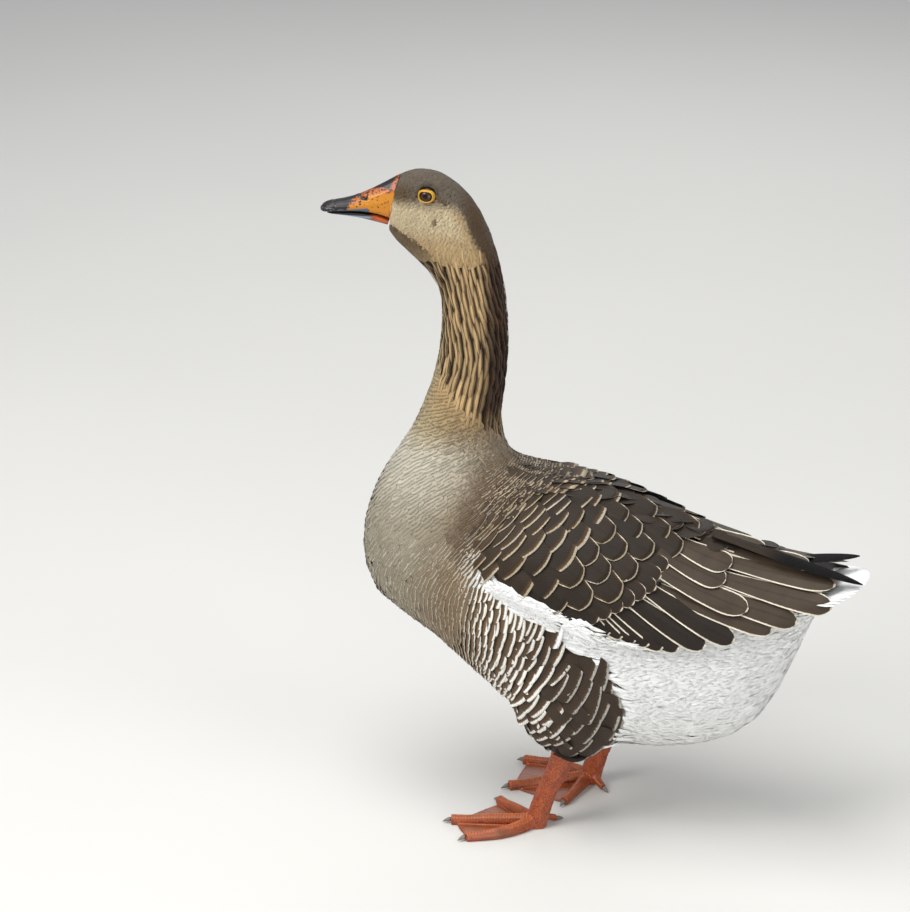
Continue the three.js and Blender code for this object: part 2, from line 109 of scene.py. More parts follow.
lens = bpy.data.cameras.new("camera")
lens.lens = 135
lens.sensor_width = 36
lens.clip_end = 50
camera = aimed("camera", lens, (-956.2, 3144.8, 1767.3), (126.6, 0, 389.6))
bpy.context.scene.camera = camera

for name, place, size, watts in (
    ("lamp_over", (500, 700, 3200), 2.4, 78),
    ("lamp_key", (1900, 2300, 2500), 1.5, 66),
    ("lamp_rear", (-2200, 900, 2300), 1.6, 18),
    ("lamp_far", (500, -2600, 1900), 1.8, 16),
    ("lamp_low", (-1500, 2400, 500), 1.6, 27),
):
    lamp = bpy.data.lights.new(name, "AREA")
    lamp.shape = "DISK"
    lamp.size = size
    lamp.energy = watts
    aimed(name, lamp, place, (0, 0, 300))

bpy.context.scene.view_settings.view_transform = "Standard"
room = bpy.data.worlds.new("room")
bpy.context.scene.world = room
room.use_nodes = True
room.node_tree.nodes["Background"].inputs["Color"].default_value = (0.86, 0.9, 0.96, 1)
room.node_tree.nodes["Background"].inputs["Strength"].default_value = 0.5


def add(tree, kind, links=(), **settings):
    """A node with its settings; links pairs an input's name or number with a value, a socket, or
    a node whose first output it takes."""
    node = tree.nodes.new(kind)
    for key, value in settings.items():
        setattr(node, key, value)
    for key, value in links:
        if isinstance(value, bpy.types.Node):
            value = value.outputs[0]
        if isinstance(value, bpy.types.NodeSocket):
            tree.links.new(value, node.inputs[key])
        else:
            node.inputs[key].default_value = value
    return node


def material(name):
    """An empty material with a principled surface: the material, its tree and the surface node."""
    made = bpy.data.materials.new(name)
    made.use_nodes = True
    tree = made.node_tree
    tree.nodes.clear()
    surface = add(tree, "ShaderNodeBsdfPrincipled")
    add(tree, "ShaderNodeOutputMaterial", [("Surface", surface)])
    return made, tree, surface


def scene_object(name, mesh, *materials):
    """An object of the mesh, at the origin, in the scene."""
    thing = bpy.data.objects.new(name, mesh)
    bpy.context.scene.collection.objects.link(thing)
    for m in materials:
        mesh.materials.append(m)
    return thing


# Smooth matt plaster: an even pale grey with only a trace of tone.
plaster, tree, surface = material("floor_plaster")
place = add(tree, "ShaderNodeTexCoord").outputs["Object"]
cloud = add(tree, "ShaderNodeTexNoise", [("Vector", place), ("Scale", 1.5), ("Detail", 3.0)])
tone = add(tree, "ShaderNodeMix", [
    ("Factor", cloud.outputs["Fac"]), ("A", (*linear("#c9c7c2"), 1)), ("B", (*linear("#cfcdc8"), 1)),
], data_type="RGBA")
tree.links.new(tone.outputs["Result"], surface.inputs["Base Color"])
surface.inputs["Roughness"].default_value = 0.85
shape = bmesh.new()
bmesh.ops.create_grid(shape, x_segments=2, y_segments=2, size=9)
mesh = bpy.data.meshes.new("floor")
shape.to_mesh(mesh)
shape.free()
floor = scene_object("floor", mesh, plaster)
floor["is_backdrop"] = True

# ---- Form and skin ---------------------------------------------------------------------------
# The form is the goose's outline out to the tips of its coat, in one closed surface.
# The skin lies inside it by the coat's depth: thin on the head, deepest on the body.
BODY = ["head", "neck_upper", "neck_lower", "breast", "trunk", "abdomen", "tail"]
PAIRS = ["thigh_left", "thigh_right", "wing_left", "wing_right"]
BILL = ["bill_upper", "bill_lower"]
BILL_CUT = {"bill_upper": (188, -1), "bill_lower": (188, -1)}


def merged(name, nodes, cut=None):
    """One object of copies of the nodes, each closed; cut keeps what is in front of a station, or
    behind it when the side is -1."""
    whole = bmesh.new()
    for node in nodes:
        part = bmesh.new()
        part.from_mesh(frame["nodes"][node].data)
        bmesh.ops.remove_doubles(part, verts=part.verts, dist=1e-6)
        if cut is not None and node in cut:
            station, side = cut[node]
            everything = part.verts[:] + part.edges[:] + part.faces[:]
            bmesh.ops.bisect_plane(
                part, geom=everything, plane_co=Vector(world((station, 0, 0))),
                plane_no=(0, side, 0), clear_outer=True)
            bmesh.ops.holes_fill(part, edges=[e for e in part.edges if e.is_boundary])
        solid = bpy.data.meshes.new(node)
        part.to_mesh(solid)
        part.free()
        whole.from_mesh(solid)
        bpy.data.meshes.remove(solid)
    mesh = bpy.data.meshes.new(name)
    whole.to_mesh(mesh)
    whole.free()
    return scene_object(name, mesh)


def moulded(thing, voxel, rounds):
    """The object's mesh made one even closed skin and smoothed; the object itself is removed."""
    remesh = thing.modifiers.new("one_skin", "REMESH")
    remesh.mode = "VOXEL"
    remesh.voxel_size = voxel
    smooth = thing.modifiers.new("smooth", "SMOOTH")
    smooth.factor = 0.5
    smooth.iterations = rounds
    ready = thing.evaluated_get(bpy.context.evaluated_depsgraph_get())
    mesh = bpy.data.meshes.new_from_object(ready)
    bpy.data.objects.remove(thing)
    return mesh


def read(collection, key, count, kind=float):
    """One value of every element as an array, with count numbers for each."""
    values = np.zeros(len(collection) * count, kind)
    collection.foreach_get(key, values)
    return values.reshape(-1, count) if count > 1 else values


def unit(v):
    """The vectors at length one."""
    return v / np.maximum(np.linalg.norm(v, axis=-1, keepdims=True), 1e-9)


def ramp(x, start, end):
    """0 up to start, 1 from end on, and a smooth rise between them."""
    t = np.clip((x - start) / (end - start), 0, 1)
    return t * t * (3 - 2 * t)


class Surface:
    """A closed surface in the goose's millimetres, with a tree that finds places on it."""

    def __init__(self, mesh):
        mesh.calc_loop_triangles()
        self.points = goose(read(mesh.vertices, "co", 3))
        self.faces = read(mesh.loop_triangles, "vertices", 3, np.int32)
        self.tree = BVHTree.FromPolygons(self.points.tolist(), self.faces.tolist())
        corners = self.points[self.faces]
        self.flat = np.cross(corners[:, 1] - corners[:, 0], corners[:, 2] - corners[:, 0])
        total = np.zeros_like(self.points)
        for corner in range(3):
            np.add.at(total, self.faces[:, corner], self.flat)
        self.normals = unit(total)

    def near(self, places):
        """The nearest places on the surface, and what reads a point value there."""
        flat = places.reshape(-1, 3)
        found = [self.tree.find_nearest(p) for p in flat.tolist()]
        at = np.array([tuple(hit[0]) for hit in found])
        face = self.faces[np.array([hit[2] for hit in found])]
        a, b, c = (self.points[face[:, i]] for i in range(3))
        n = np.cross(b - a, c - a)
        area = np.maximum((n * n).sum(1), 1e-9)
        wb = (np.cross(at - a, c - a) * n).sum(1) / area
        wc = (np.cross(b - a, at - a) * n).sum(1) / area
        share = np.clip(np.stack([1 - wb - wc, wb, wc], 1), 0, 1)
        return at.reshape(places.shape), (face, share / share.sum(1, keepdims=True))

    def value(self, values, spot):
        """Point values at the places that near found."""
        face, share = spot
        got = values[face]
        return (got * (share[..., None] if got.ndim == 3 else share)).sum(1)


form_mesh = moulded(merged("form", BODY + PAIRS + BILL, BILL_CUT), 0.0028, 6)
form = Surface(form_mesh)


def coat_depth(p):
    """How far the skin lies under the coat's outside: 1.5 mm on the face to 8 mm on the body."""
    return 1.5 + 4.0 * ramp(p[:, 2], 632, 590) + 3.0 * ramp(p[:, 2], 500, 400)


inner = merged("inner", BODY + PAIRS + BILL, {
    "wing_left": (20, 1), "wing_right": (20, 1), "tail": (-285, 1), **BILL_CUT})
skin_mesh = moulded(inner, 0.0032, 8)
skin = Surface(skin_mesh)

# The skin sinks by the coat's depth, but never past about a third of the flesh's thickness, and
# evens out from point to point so that thin edges don't fold.
room_inside = np.full(len(skin.points), 60.0)
for i, (p, n) in enumerate(zip(skin.points, skin.normals)):
    hit = skin.tree.ray_cast(Vector(p - 0.5 * n), Vector(-n))
    if hit[0] is not None:
        room_inside[i] = hit[3]
in_bill = ramp(np.linalg.norm(skin.points - (188, 18, 668), axis=1), 26, 16)
sunk = np.minimum(coat_depth(skin.points) + 2.5 * in_bill, (0.35 + 0.1 * in_bill) * room_inside)
neighbours = read(skin_mesh.edges, "vertices", 2, np.int32)
valence = np.bincount(neighbours.ravel(), minlength=len(sunk))
for _ in range(12):
    total = np.bincount(neighbours[:, 0], sunk[neighbours[:, 1]], len(sunk))
    total += np.bincount(neighbours[:, 1], sunk[neighbours[:, 0]], len(sunk))
    sunk = np.minimum(sunk, total / valence)
skin_points = skin.points - skin.normals * sunk[:, None]
skin_mesh.vertices.foreach_set("co", world(skin_points).ravel())
skin_mesh.update()

# ---- The lie of the coat ---------------------------------------------------------------------
# Feathers stand in rows round the body, as on a real bird's feather tracts, and point away from
# the bill. A row number grows from the bill backwards, by one for each row's real spacing.
HEAD_TURN = math.radians(13)
NECK_STATION = 106.0
HEAD_FOOT = 617


def head_place(p):
    """Forward of the neck along the head, left of the head's middle, and up."""
    f, l = p[..., 0] - NECK_STATION, p[..., 1]
    along = f * math.cos(HEAD_TURN) + l * math.sin(HEAD_TURN)
    side = l * math.cos(HEAD_TURN) - f * math.sin(HEAD_TURN)
    return along, side, p[..., 2]


def neck_angle(p):
    """Degrees round the neck: 0 in front, 180 at the back, the same on both sides."""
    centre = NECK_STATION + 14 * ramp(p[..., 2], 520, 430)
    return np.degrees(np.arctan2(np.abs(p[..., 1]), p[..., 0] - centre))


def lock_foot(angle):
    """The height where the neck's locks end, at degrees round the neck."""
    return 410 + 108 * (1 - angle / 180)


def table(x, rows):
    """A curve through (x, value) pairs."""
    xs, values = zip(*sorted(rows))
    return np.interp(x, xs, values)


def flank_end(z):
    """The station where the brown flank ends and the white of the belly starts."""
    return table(z, [(80, -50), (100, -70), (125, -84), (174, -98), (198, -93), (214, -78),
                     (230, -48), (252, -19), (268, 9), (280, 36), (289, 54), (296, 64), (330, 68)])


def spacing(p):
    """Millimetres between one feather row and the next."""
    f, l, z = p[..., 0], np.abs(p[..., 1]), p[..., 2]
    along = head_place(p)[0]
    gap = 3.7 - 1.6 * ramp(z, 606, 640) - 0.35 * ramp(along, 30, 70) * ramp(z, 620, 640)
    behind = ramp(f, 110, -100) * ramp(z, 330, 290)
    gap = gap + 12.8 * behind ** 1.2
    gap = gap + 9.0 * ramp(f, 50, -20) * ramp(z, 300, 340)
    white = ramp(flank_end(z) - f, -2, 12) * ramp(z, 330, 300)
    return gap * (1 - white) + 5.4 * white


field = Surface(moulded(merged("field", BODY + PAIRS + BILL, BILL_CUT), 0.007, 3))
bill_nodes = Surface(merged("bill_copy", BILL).data)
bpy.data.objects.remove(bpy.data.objects["bill_copy"])

# Row numbers spread over the form from the bill like a wave front, triangle by triangle.
slowness = 1 / spacing(field.points)
to_bill = np.linalg.norm(field.points - bill_nodes.near(field.points)[0], axis=1)
row = np.where(to_bill < 7, to_bill * slowness, 1e6)
known = to_bill < 7
corner, first, second = (np.concatenate([np.roll(field.faces, -i, 1)[:, j] for i in range(3)])
                         for j in range(3))
ea, eb = (field.points[v] - field.points[corner] for v in (first, second))
aa, bb, ab = (ea * ea).sum(1), (eb * eb).sum(1), (ea * eb).sum(1)
scale = np.maximum(aa * bb - ab * ab, 1e-9)
qa, qb, qc = bb / scale, aa / scale, -ab / scale
slow = slowness[corner]
for _ in range(420):
    ta, tb = row[first], row[second]
    square = qa + qb + 2 * qc
    cross = (qa + qc) * ta + (qb + qc) * tb
    rest = qa * ta * ta + qb * tb * tb + 2 * qc * ta * tb - slow * slow
    t = (cross + np.sqrt(np.maximum(cross * cross - square * rest, 0))) / square
    inside = (qa * (t - ta) + qc * (t - tb) > 0) & (qb * (t - tb) + qc * (t - ta) > 0)
    edge = np.minimum(ta + slow * np.sqrt(aa), tb + slow * np.sqrt(bb))
    found = np.where(inside & (cross * cross > square * rest), np.minimum(t, edge), edge)
    new = row.copy()
    np.minimum.at(new, corner, found)
    new[known] = row[known]
    if np.abs(new - row).max() < 1e-3:
        break
    row = new

# On the body the feathers follow the belly's line instead: down the breast and back along the
# flank. The rows are then fitted to those directions and spacings together.
SPINE = np.array([(190, 664), (150, 668), (112, 655), (106, 600), (108, 500), (112, 440),
                  (80, 340), (0, 250), (-120, 235), (-230, 250), (-330, 296)], float)


def spine_place(p):
    """Where a place stands along the body's middle line: share, offset from it and its way."""
    flat = np.stack([p[:, 0], p[:, 2]], 1)
    start, step = SPINE[:-1], np.diff(SPINE, axis=0)
    size = (step * step).sum(1)
    t = np.clip(((flat[:, None] - start) * step).sum(2) / size, 0, 1)
    gap = flat[:, None] - start - t[..., None] * step
    best = np.argmin((gap * gap).sum(2), axis=1)
    pick = np.arange(len(p))
    lengths = np.sqrt(size)
    total = np.concatenate([[0], np.cumsum(lengths)])
    along = (total[best] + t[pick, best] * lengths[best]) / total[-1]
    return along, gap[pick, best], step[best] / lengths[best][:, None]


corners = field.points[field.faces]
plane = unit(field.flat)
area = np.linalg.norm(field.flat, axis=1)[:, None]
basis = [np.cross(plane, corners[:, (i + 2) % 3] - corners[:, (i + 1) % 3]) / area for i in range(3)]


def slope_of(values):
    """Which way and how fast values given at the points rise over each triangle."""
    return sum(values[field.faces[:, i]][:, None] * basis[i] for i in range(3))


def gathered(vectors):
    """What each point takes of the triangles' vectors: the reverse of slope_of."""
    return sum(np.bincount(field.faces[:, i], (basis[i] * vectors).sum(1) * area[:, 0], len(row))
               for i in range(3))


middle = corners.mean(1)
ahead = unit(slope_of(row))
way = spine_place(middle)[2]
smooth_way = np.stack([table(middle[:, 2], [(0, -1), (240, -1), (300, -0.75), (380, -0.55), (450, -0.1)]),
                       table(middle[:, 2], [(0, 0), (240, 0), (300, -0.65), (380, -0.85), (450, -1)])], 1)
breast_part = ramp(middle[:, 0], 20, 110)[:, None]
way = way * (1 - breast_part) + smooth_way * breast_part
fan = unit(np.stack([middle[:, 0] - 150, middle[:, 2] - 235], 1))
in_fan = (ramp(middle[:, 0], 100, 30) * ramp(middle[:, 0], -125, -95) * ramp(middle[:, 2], 300, 270))[:, None]
way = way * (1 - in_fan) + fan * in_fan
body_way = np.stack([way[:, 0], np.zeros(len(way)), way[:, 1]], 1)
body_way -= plane * (body_way * plane).sum(1, keepdims=True)
on_body = (ramp(middle[:, 2], 450, 400))[:, None]
wanted = unit(ahead * (1 - on_body) + unit(body_way) * on_body)
target = wanted / spacing(middle)[:, None]
fitted = row.copy()
left_over = gathered(target - slope_of(fitted))
left_over[known] = 0
search, size = left_over.copy(), (left_over * left_over).sum()
for _ in range(700):
    pushed = gathered(slope_of(search))
    pushed[known] = 0
    step = size / (search * pushed).sum()
    fitted += step * search
    left_over -= step * pushed
    size, before = (left_over * left_over).sum(), size
    search = left_over + size / before * search
row = fitted
slope = slope_of(row)


def wander(p, length):
    """A smooth wandering value between about -1 and 1 over the given millimetres."""
    total = 0
    for turn in range(7):
        way = np.array([math.cos(2.4 * turn), math.sin(2.4 * turn), math.cos(1.7 * turn + 1)])
        total = total + np.sin(p @ way * (math.tau / length) * (0.8 + 0.07 * turn) + 1.9 * turn)
    return total / 4


# A slow wander keeps the rows from looking ruled; the head and neck stay even.
calm = ramp(field.points[:, 2], 600, 420)
row = row + calm * (0.45 * wander(field.points, 80) + 0.16 * wander(field.points + 50, 31))
# The lie is the way the row numbers fall, smoothed along the surface.
lie = np.zeros_like(field.points)
for i in range(3):
    np.add.at(lie, field.faces[:, i], unit(slope) * area)
lie = unit(lie)
for _ in range(4):
    total = np.zeros_like(lie)
    for i in range(3):
        for j in range(3):
            np.add.at(total, field.faces[:, i], lie[field.faces[:, j]])
    total -= field.normals * (total * field.normals).sum(1, keepdims=True)
    lie = unit(total)


def unwrap(p):
    """Where a place's baked colours lie: how far round the body's middle line, and along it."""
    along, out, way = spine_place(p)
    height = out[:, 1] * way[:, 0] - out[:, 0] * way[:, 1]
    turn = np.arctan2(p[:, 1], height) / (2 * math.pi) + 0.5
    return np.stack([0.01 + 0.98 * turn, 0.01 + 0.98 * along], 1)


# ---- Plumage: markings and material ----------------------------------------------------------
# Keratin feathers of a grey goose: warm grey-brown with pale fringes, white behind the legs.
# The markings are worked out once for any place on the body, so the skin carries them as well.
HANDS = {"left": 1, "right": -1}
TILT = math.radians(40)


def mixed(a, b, share):
    """Colour a turned into colour b by a share for each place."""
    return a + (b - a) * np.asarray(share)[..., None]


def shades(*colours):
    """Linear colours from sRGB hex, as arrays."""
    return [np.array(linear(c)) for c in colours]


def wing_map(p):
    """A place seen square on to the folded wing: back from the leg line, and up its slope."""
    return -p[..., 0], p[..., 2] * math.cos(TILT) - np.abs(p[..., 1]) * math.sin(TILT)


def wing_front(s):
    """The station of the wing's front edge at a height up its slope."""
    return table(s, [(150, 40), (166, 67), (183, 77), (206, 81), (245, 70), (293, 62)])


def wing_foot(f):
    """The height up its slope of the folded wing's lower edge at a station."""
    return table(f, [(81, 190), (67, 167), (44, 158), (13, 151), (-13, 144), (-40, 136),
                     (-52, 134), (-143, 127), (-201, 147), (-258, 170), (-293, 190), (-320, 200)])


def wing_top(f):
    """The height up its slope where the wing's coverts give way to the mantle on the back."""
    return table(f, [(75, 262), (60, 272), (45, 281), (20, 288), (-3, 287), (-49, 279), (-94, 268),
                     (-138, 262), (-320, 246)])


def on_wing(p):
    """Above 0 inside the folded wing's outline, in millimetres from its edge."""
    back, s = wing_map(p)
    along_slope = np.minimum(wing_front(s) + back, 292 - back)
    return np.minimum(np.minimum(along_slope, s - wing_foot(-back)), wing_top(-back) - s)


def whiteness(p):
    """1 where the plumage is white: belly, vent, the band under the wing and the tail's root."""
    f, l, z = p[..., 0], np.abs(p[..., 1]), p[..., 2]
    ragged = 4 * wander(p, 17)
    pale = ramp(flank_end(z) - f + ragged, -1, 1) * ramp(z, 326, 312)
    under = ramp(f, 40, 0) * ramp(l, 40, 20) * ramp(z, 150, 120)
    return np.maximum(np.maximum(pale, under), ramp(f, -225, -240))


def markings(p, pale=None):
    """The feather's own colour, its fringe's colour, and how strongly the fringe shows; pale is
    how white it is, worked out from the place when not given."""
    f, l, z = p[..., 0], np.abs(p[..., 1]), p[..., 2]
    along = head_place(p)[0]
    turn = neck_angle(p)
    (crown, nape, cheek, lores, throat_in_shade, tan, stripe, front, breast, side_breast, near_wing, flank,
     white, back) = shades("#5b5145", "#4a3824", "#b7a685", "#4f3f2d", "#604e36", "#a2875f", "#3a2615",
                           "#9a8a69", "#b4ae9d", "#75624a", "#4e3d2a", "#33281e", "#f8f8f5", "#2a2119")
    # Neck: tan at the sides, and a dark stripe down the back of it that ends at its foot.
    # Up the front of the neck the colour turns to the throat's brown, darkened there as painted shade under
    # the jaw.
    tone = mixed(front, throat_in_shade, ramp(z, 470, 560) * 0.85)
    tone = mixed(tone, tan, ramp(turn, 20, 70))
    tone = mixed(tone, stripe, ramp(turn, 118, 148) * ramp(z, 415, 460))
    low = ramp(z - 0.35 * (f - 120), 470, 425)
    tone = mixed(tone, front, low * ramp(turn, 150, 40))
    tone = mixed(tone, side_breast, low * ramp(turn, 60, 110) * 0.8)
    # Breast: pale ash grey in front, browner and barred towards the flank and shoulder.
    body = ramp(z, 440, 395)
    to_flank = ramp(f + 0.3 * (z - 260), 185, 75)
    # Lower down the breast darkens towards a duller brown-grey: painted shade on its underside.
    chest = mixed(breast, shades("#857b66")[0], ramp(z, 415, 295) * 0.95)
    chest = mixed(chest, side_breast, np.clip(1.25 * to_flank, 0, 1))
    chest = mixed(chest, near_wing, ramp(on_wing(p), -34, -3) * ramp(z, 250, 290) * 0.85)
    chest = mixed(chest, flank, ramp(f + 0.1 * (z - 260), 80, -15))
    tone = mixed(tone, chest, body)
    tone = mixed(tone, back, ramp(f, 72, 38) * ramp(z, 300, 340) * ramp(z, 436, 400))
    pale = whiteness(p) if pale is None else pale
    tone = mixed(tone, white, pale)
    # Head: brown-grey cap and lores over a cream cheek that fades into the nape.
    head = ramp(z, 612, 634)
    line = table(along, [(-30, 596), (-13, 622), (-3, 640), (3, 654), (10, 667), (20, 675), (80, 676)])
    cap = mixed(crown, nape, ramp(along, 18, -6))
    cap = mixed(cap, lores, ramp(along, 52, 66) * ramp(z, 697, 688))
    face = mixed(cap, cheek, ramp(z - line, 6, -9))
    face = mixed(face, tan, ramp(z, 656, 630) * ramp(z - line, 1, -9) * 0.85)
    face = mixed(face, tan, ramp(z - line, -20, -6) * ramp(z - line, 3, -5) * ramp(along, 24, 8) * 0.8)
    face = mixed(face, nape, ramp(np.hypot(along - 36, (z - 657) / 1.3), 4.4, 1.6) * 0.75)
    behind_eye = np.abs(z - 680.5 - 0.5 * (along - 33))
    face = mixed(face, lores, ramp(behind_eye, 3.2, 0.8) * ramp(along, 14, 24) * ramp(along, 40, 34))
    furrow = table(along, [(37, 617), (45, 626), (53, 633), (70, 641.5), (83, 647), (95, 653)])
    # Below the furrow the face takes the throat's own brown with its painted shade under the jaw.
    face = mixed(face, throat_in_shade, ramp(furrow - z, -1, 2))
    # A dark line along the furrow's fold is painted shade in the crease.
    fold_shade = np.exp(-((z - furrow) / 1.7) ** 2)
    face = mixed(face, lores, fold_shade * ramp(along, 34, 44) * ramp(along, 92, 84))
    tone = mixed(tone, face, head)
    # Fringes: faint on the breast, strong on the flank and back, none on head, neck and white.
    rim = mixed(*shades("#d6d1c4", "#c4b89e"), to_flank)
    rim = mixed(rim, shades("#f0ede4")[0], ramp(f, 105, 60))
    rim = mixed(rim, shades("#b9a98e")[0], ramp(z, 320, 350) * to_flank)
    strength = 0.5 + 0.05 * to_flank + 0.62 * ramp(f, 100, 50) - 0.85 * ramp(f, 40, -60)
    strength = np.maximum(body * strength * (1 - pale), 0.36 * body * (1 - pale))
    drip = ramp(flank_end(z) - f, -26, -3) * ramp(z, 205, 240) * ramp(z, 308, 290) * (1 - pale)
    strength = strength * np.exp(0.35 * wander(p, 9)) + 0.5 * drip
    rim = mixed(rim, white, np.maximum(pale, drip))
    return tone, rim, strength * ramp(z, 640, 600) * (1 - 0.5 * ramp(z, 310, 350) * (f > 0))


def plumage(name, barb, fringe, sheen, rough, shaft_fold_shade=0.0, aspect=4.0, sides=1.0, cloud=0.3,
            warm=0.0, wrap=1.0):
    """Feather keratin, matt and softly sheened: fine barbs slant off a shaft to a pale fringe.

    barb is the spacing of the drawn barbs as a share of the vane, wider than the real half
    millimetre so that it shows; fringe is the pale edge's width as a share of the half vane,
    and aspect the vane's length over that half. sides is how near the fringe comes along the
    vane's edges, and wrap how near it comes beside the tip. The share after rough darkens the
    fold beside the shaft as painted shade, cloud varies the tone from place to place, and warm browns the
    vane inside its fringe.
    """
    made, tree, surface = material(name)
    vane = add(tree, "ShaderNodeUVMap", uv_map="Vane").outputs["UV"]
    split = add(tree, "ShaderNodeSeparateXYZ", [(0, vane)])
    across = add(tree, "ShaderNodeMath", [(0, split), (1, 2.0), (2, -1.0)],
                 operation="MULTIPLY_ADD")
    off = add(tree, "ShaderNodeMath", [(0, across)], operation="ABSOLUTE")
    along = split.outputs[1]
    place = add(tree, "ShaderNodeTexCoord").outputs["Object"]
    grain = add(tree, "ShaderNodeTexNoise", [("Vector", place), ("Scale", 420.0), ("Detail", 2.0)])
    patch = add(tree, "ShaderNodeTexNoise", [("Vector", place), ("Scale", 60.0), ("Detail", 2.0)])
    # Barbs run out and towards the tip, so their phase grows along the vane and falls outwards.
    slant = add(tree, "ShaderNodeMath", [(0, off), (1, -0.45), (2, along)],
                operation="MULTIPLY_ADD")
    wobble = add(tree, "ShaderNodeMath", [(0, grain.outputs["Fac"]), (1, 0.02), (2, slant)],
                 operation="MULTIPLY_ADD")
    phase = add(tree, "ShaderNodeMath", [(0, wobble), (1, math.tau / barb)], operation="MULTIPLY")
    barbs = add(tree, "ShaderNodeMath", [(0, phase)], operation="SINE")
    # The pale fringe rounds the vane's tip; the rim colour's alpha sets its width and strength.
    tip = add(tree, "ShaderNodeMath", [(0, along), (1, aspect), (2, 1 - aspect)], operation="MULTIPLY_ADD")
    wrapped = add(tree, "ShaderNodeMapRange", [
        ("Value", along), ("From Min", 0.5), ("From Max", 0.85), ("To Min", sides), ("To Max", wrap)])
    flanks = add(tree, "ShaderNodeMath", [(0, off), (1, wrapped)], operation="MULTIPLY")
    edge = add(tree, "ShaderNodeMath", [(0, flanks), (1, tip)], operation="MAXIMUM")
    ragged = add(tree, "ShaderNodeMath", [(0, grain.outputs["Fac"]), (1, 0.7 * fringe), (2, edge)],
                 operation="MULTIPLY_ADD")
    inward = add(tree, "ShaderNodeMath", [(0, 1 + 0.35 * fringe), (1, ragged)],
                 operation="SUBTRACT")
    tone = add(tree, "ShaderNodeAttribute", attribute_name="tone")
    rim = add(tree, "ShaderNodeAttribute", attribute_name="rim")
    width = add(tree, "ShaderNodeMath", [(0, rim.outputs["Alpha"]), (1, fringe), (2, 0.002)],
                operation="MULTIPLY_ADD")
    share_in = add(tree, "ShaderNodeMath", [(0, inward), (1, width)],
                   operation="DIVIDE")
    pale = add(tree, "ShaderNodeMapRange", [
        ("Value", share_in), ("From Min", 1.35), ("From Max", 0.65),
    ], interpolation_type="SMOOTHSTEP")
    strong = add(tree, "ShaderNodeMath", [(0, rim.outputs["Alpha"]), (1, 1.5)], operation="MULTIPLY",
                 use_clamp=True)
    share = add(tree, "ShaderNodeMath", [(0, pale), (1, strong)], operation="MULTIPLY")
    # Just inside the fringe the vane is a warmer brown than its own ground.
    beside = add(tree, "ShaderNodeMapRange", [
        ("Value", share_in), ("From Min", 2.8), ("From Max", 1.1), ("To Max", warm)])
    glow = add(tree, "ShaderNodeMath", [(0, beside), (1, strong)], operation="MULTIPLY")
    ground = add(tree, "ShaderNodeMix", [
        ("Factor", glow), ("A", tone.outputs["Color"]), ("B", (*linear("#6b4d2e"), 1)),
    ], data_type="RGBA")
    colour = add(tree, "ShaderNodeMix", [
        ("Factor", share), ("A", ground.outputs["Result"]), ("B", rim.outputs["Color"]),
    ], data_type="RGBA")
    lines = add(tree, "ShaderNodeMath", [(0, barbs), (1, 0.07), (2, 0.93)],
                operation="MULTIPLY_ADD")
    cloudy = add(tree, "ShaderNodeMath", [(0, patch.outputs["Fac"]), (1, cloud), (2, -0.5 * cloud)],
                 operation="MULTIPLY_ADD")
    level = add(tree, "ShaderNodeMath", [(0, lines), (1, cloudy)], operation="ADD")
    if shaft_fold_shade:
        # Long feathers get a darker line beside the shaft where the vane folds down to it: painted shade in
        # the fold.
        fold_shade = add(tree, "ShaderNodeMapRange", [
            ("Value", off), ("From Min", 0.0), ("From Max", 0.16),
            ("To Min", 1 - shaft_fold_shade), ("To Max", 1.0)])
        level = add(tree, "ShaderNodeMath", [(0, level), (1, fold_shade)],
                    operation="MULTIPLY")
    shaded = add(tree, "ShaderNodeMix", [
        ("Factor", 1.0), ("A", colour.outputs["Result"]), ("B", level),
    ], data_type="RGBA", blend_type="MULTIPLY")
    tree.links.new(shaded.outputs["Result"], surface.inputs["Base Color"])
    bump = add(tree, "ShaderNodeBump", [
        ("Height", barbs), ("Strength", 0.25), ("Distance", 0.0002)])
    tree.links.new(bump.outputs["Normal"], surface.inputs["Normal"])
    surface.inputs["Roughness"].default_value = rough
    surface.inputs["Specular IOR Level"].default_value = 0.22
    surface.inputs["Sheen Weight"].default_value = sheen
    surface.inputs["Sheen Roughness"].default_value = 0.5
    return made


# ---- Plumage: feathers in rows ---------------------------------------------------------------
# Each feather is a thin closed vane: rooted on the skin, rising under the row in front of it,
# with its tip on the coat's outside. Rows follow the whole row numbers of the coat's lie.
rng = np.random.default_rng(7)


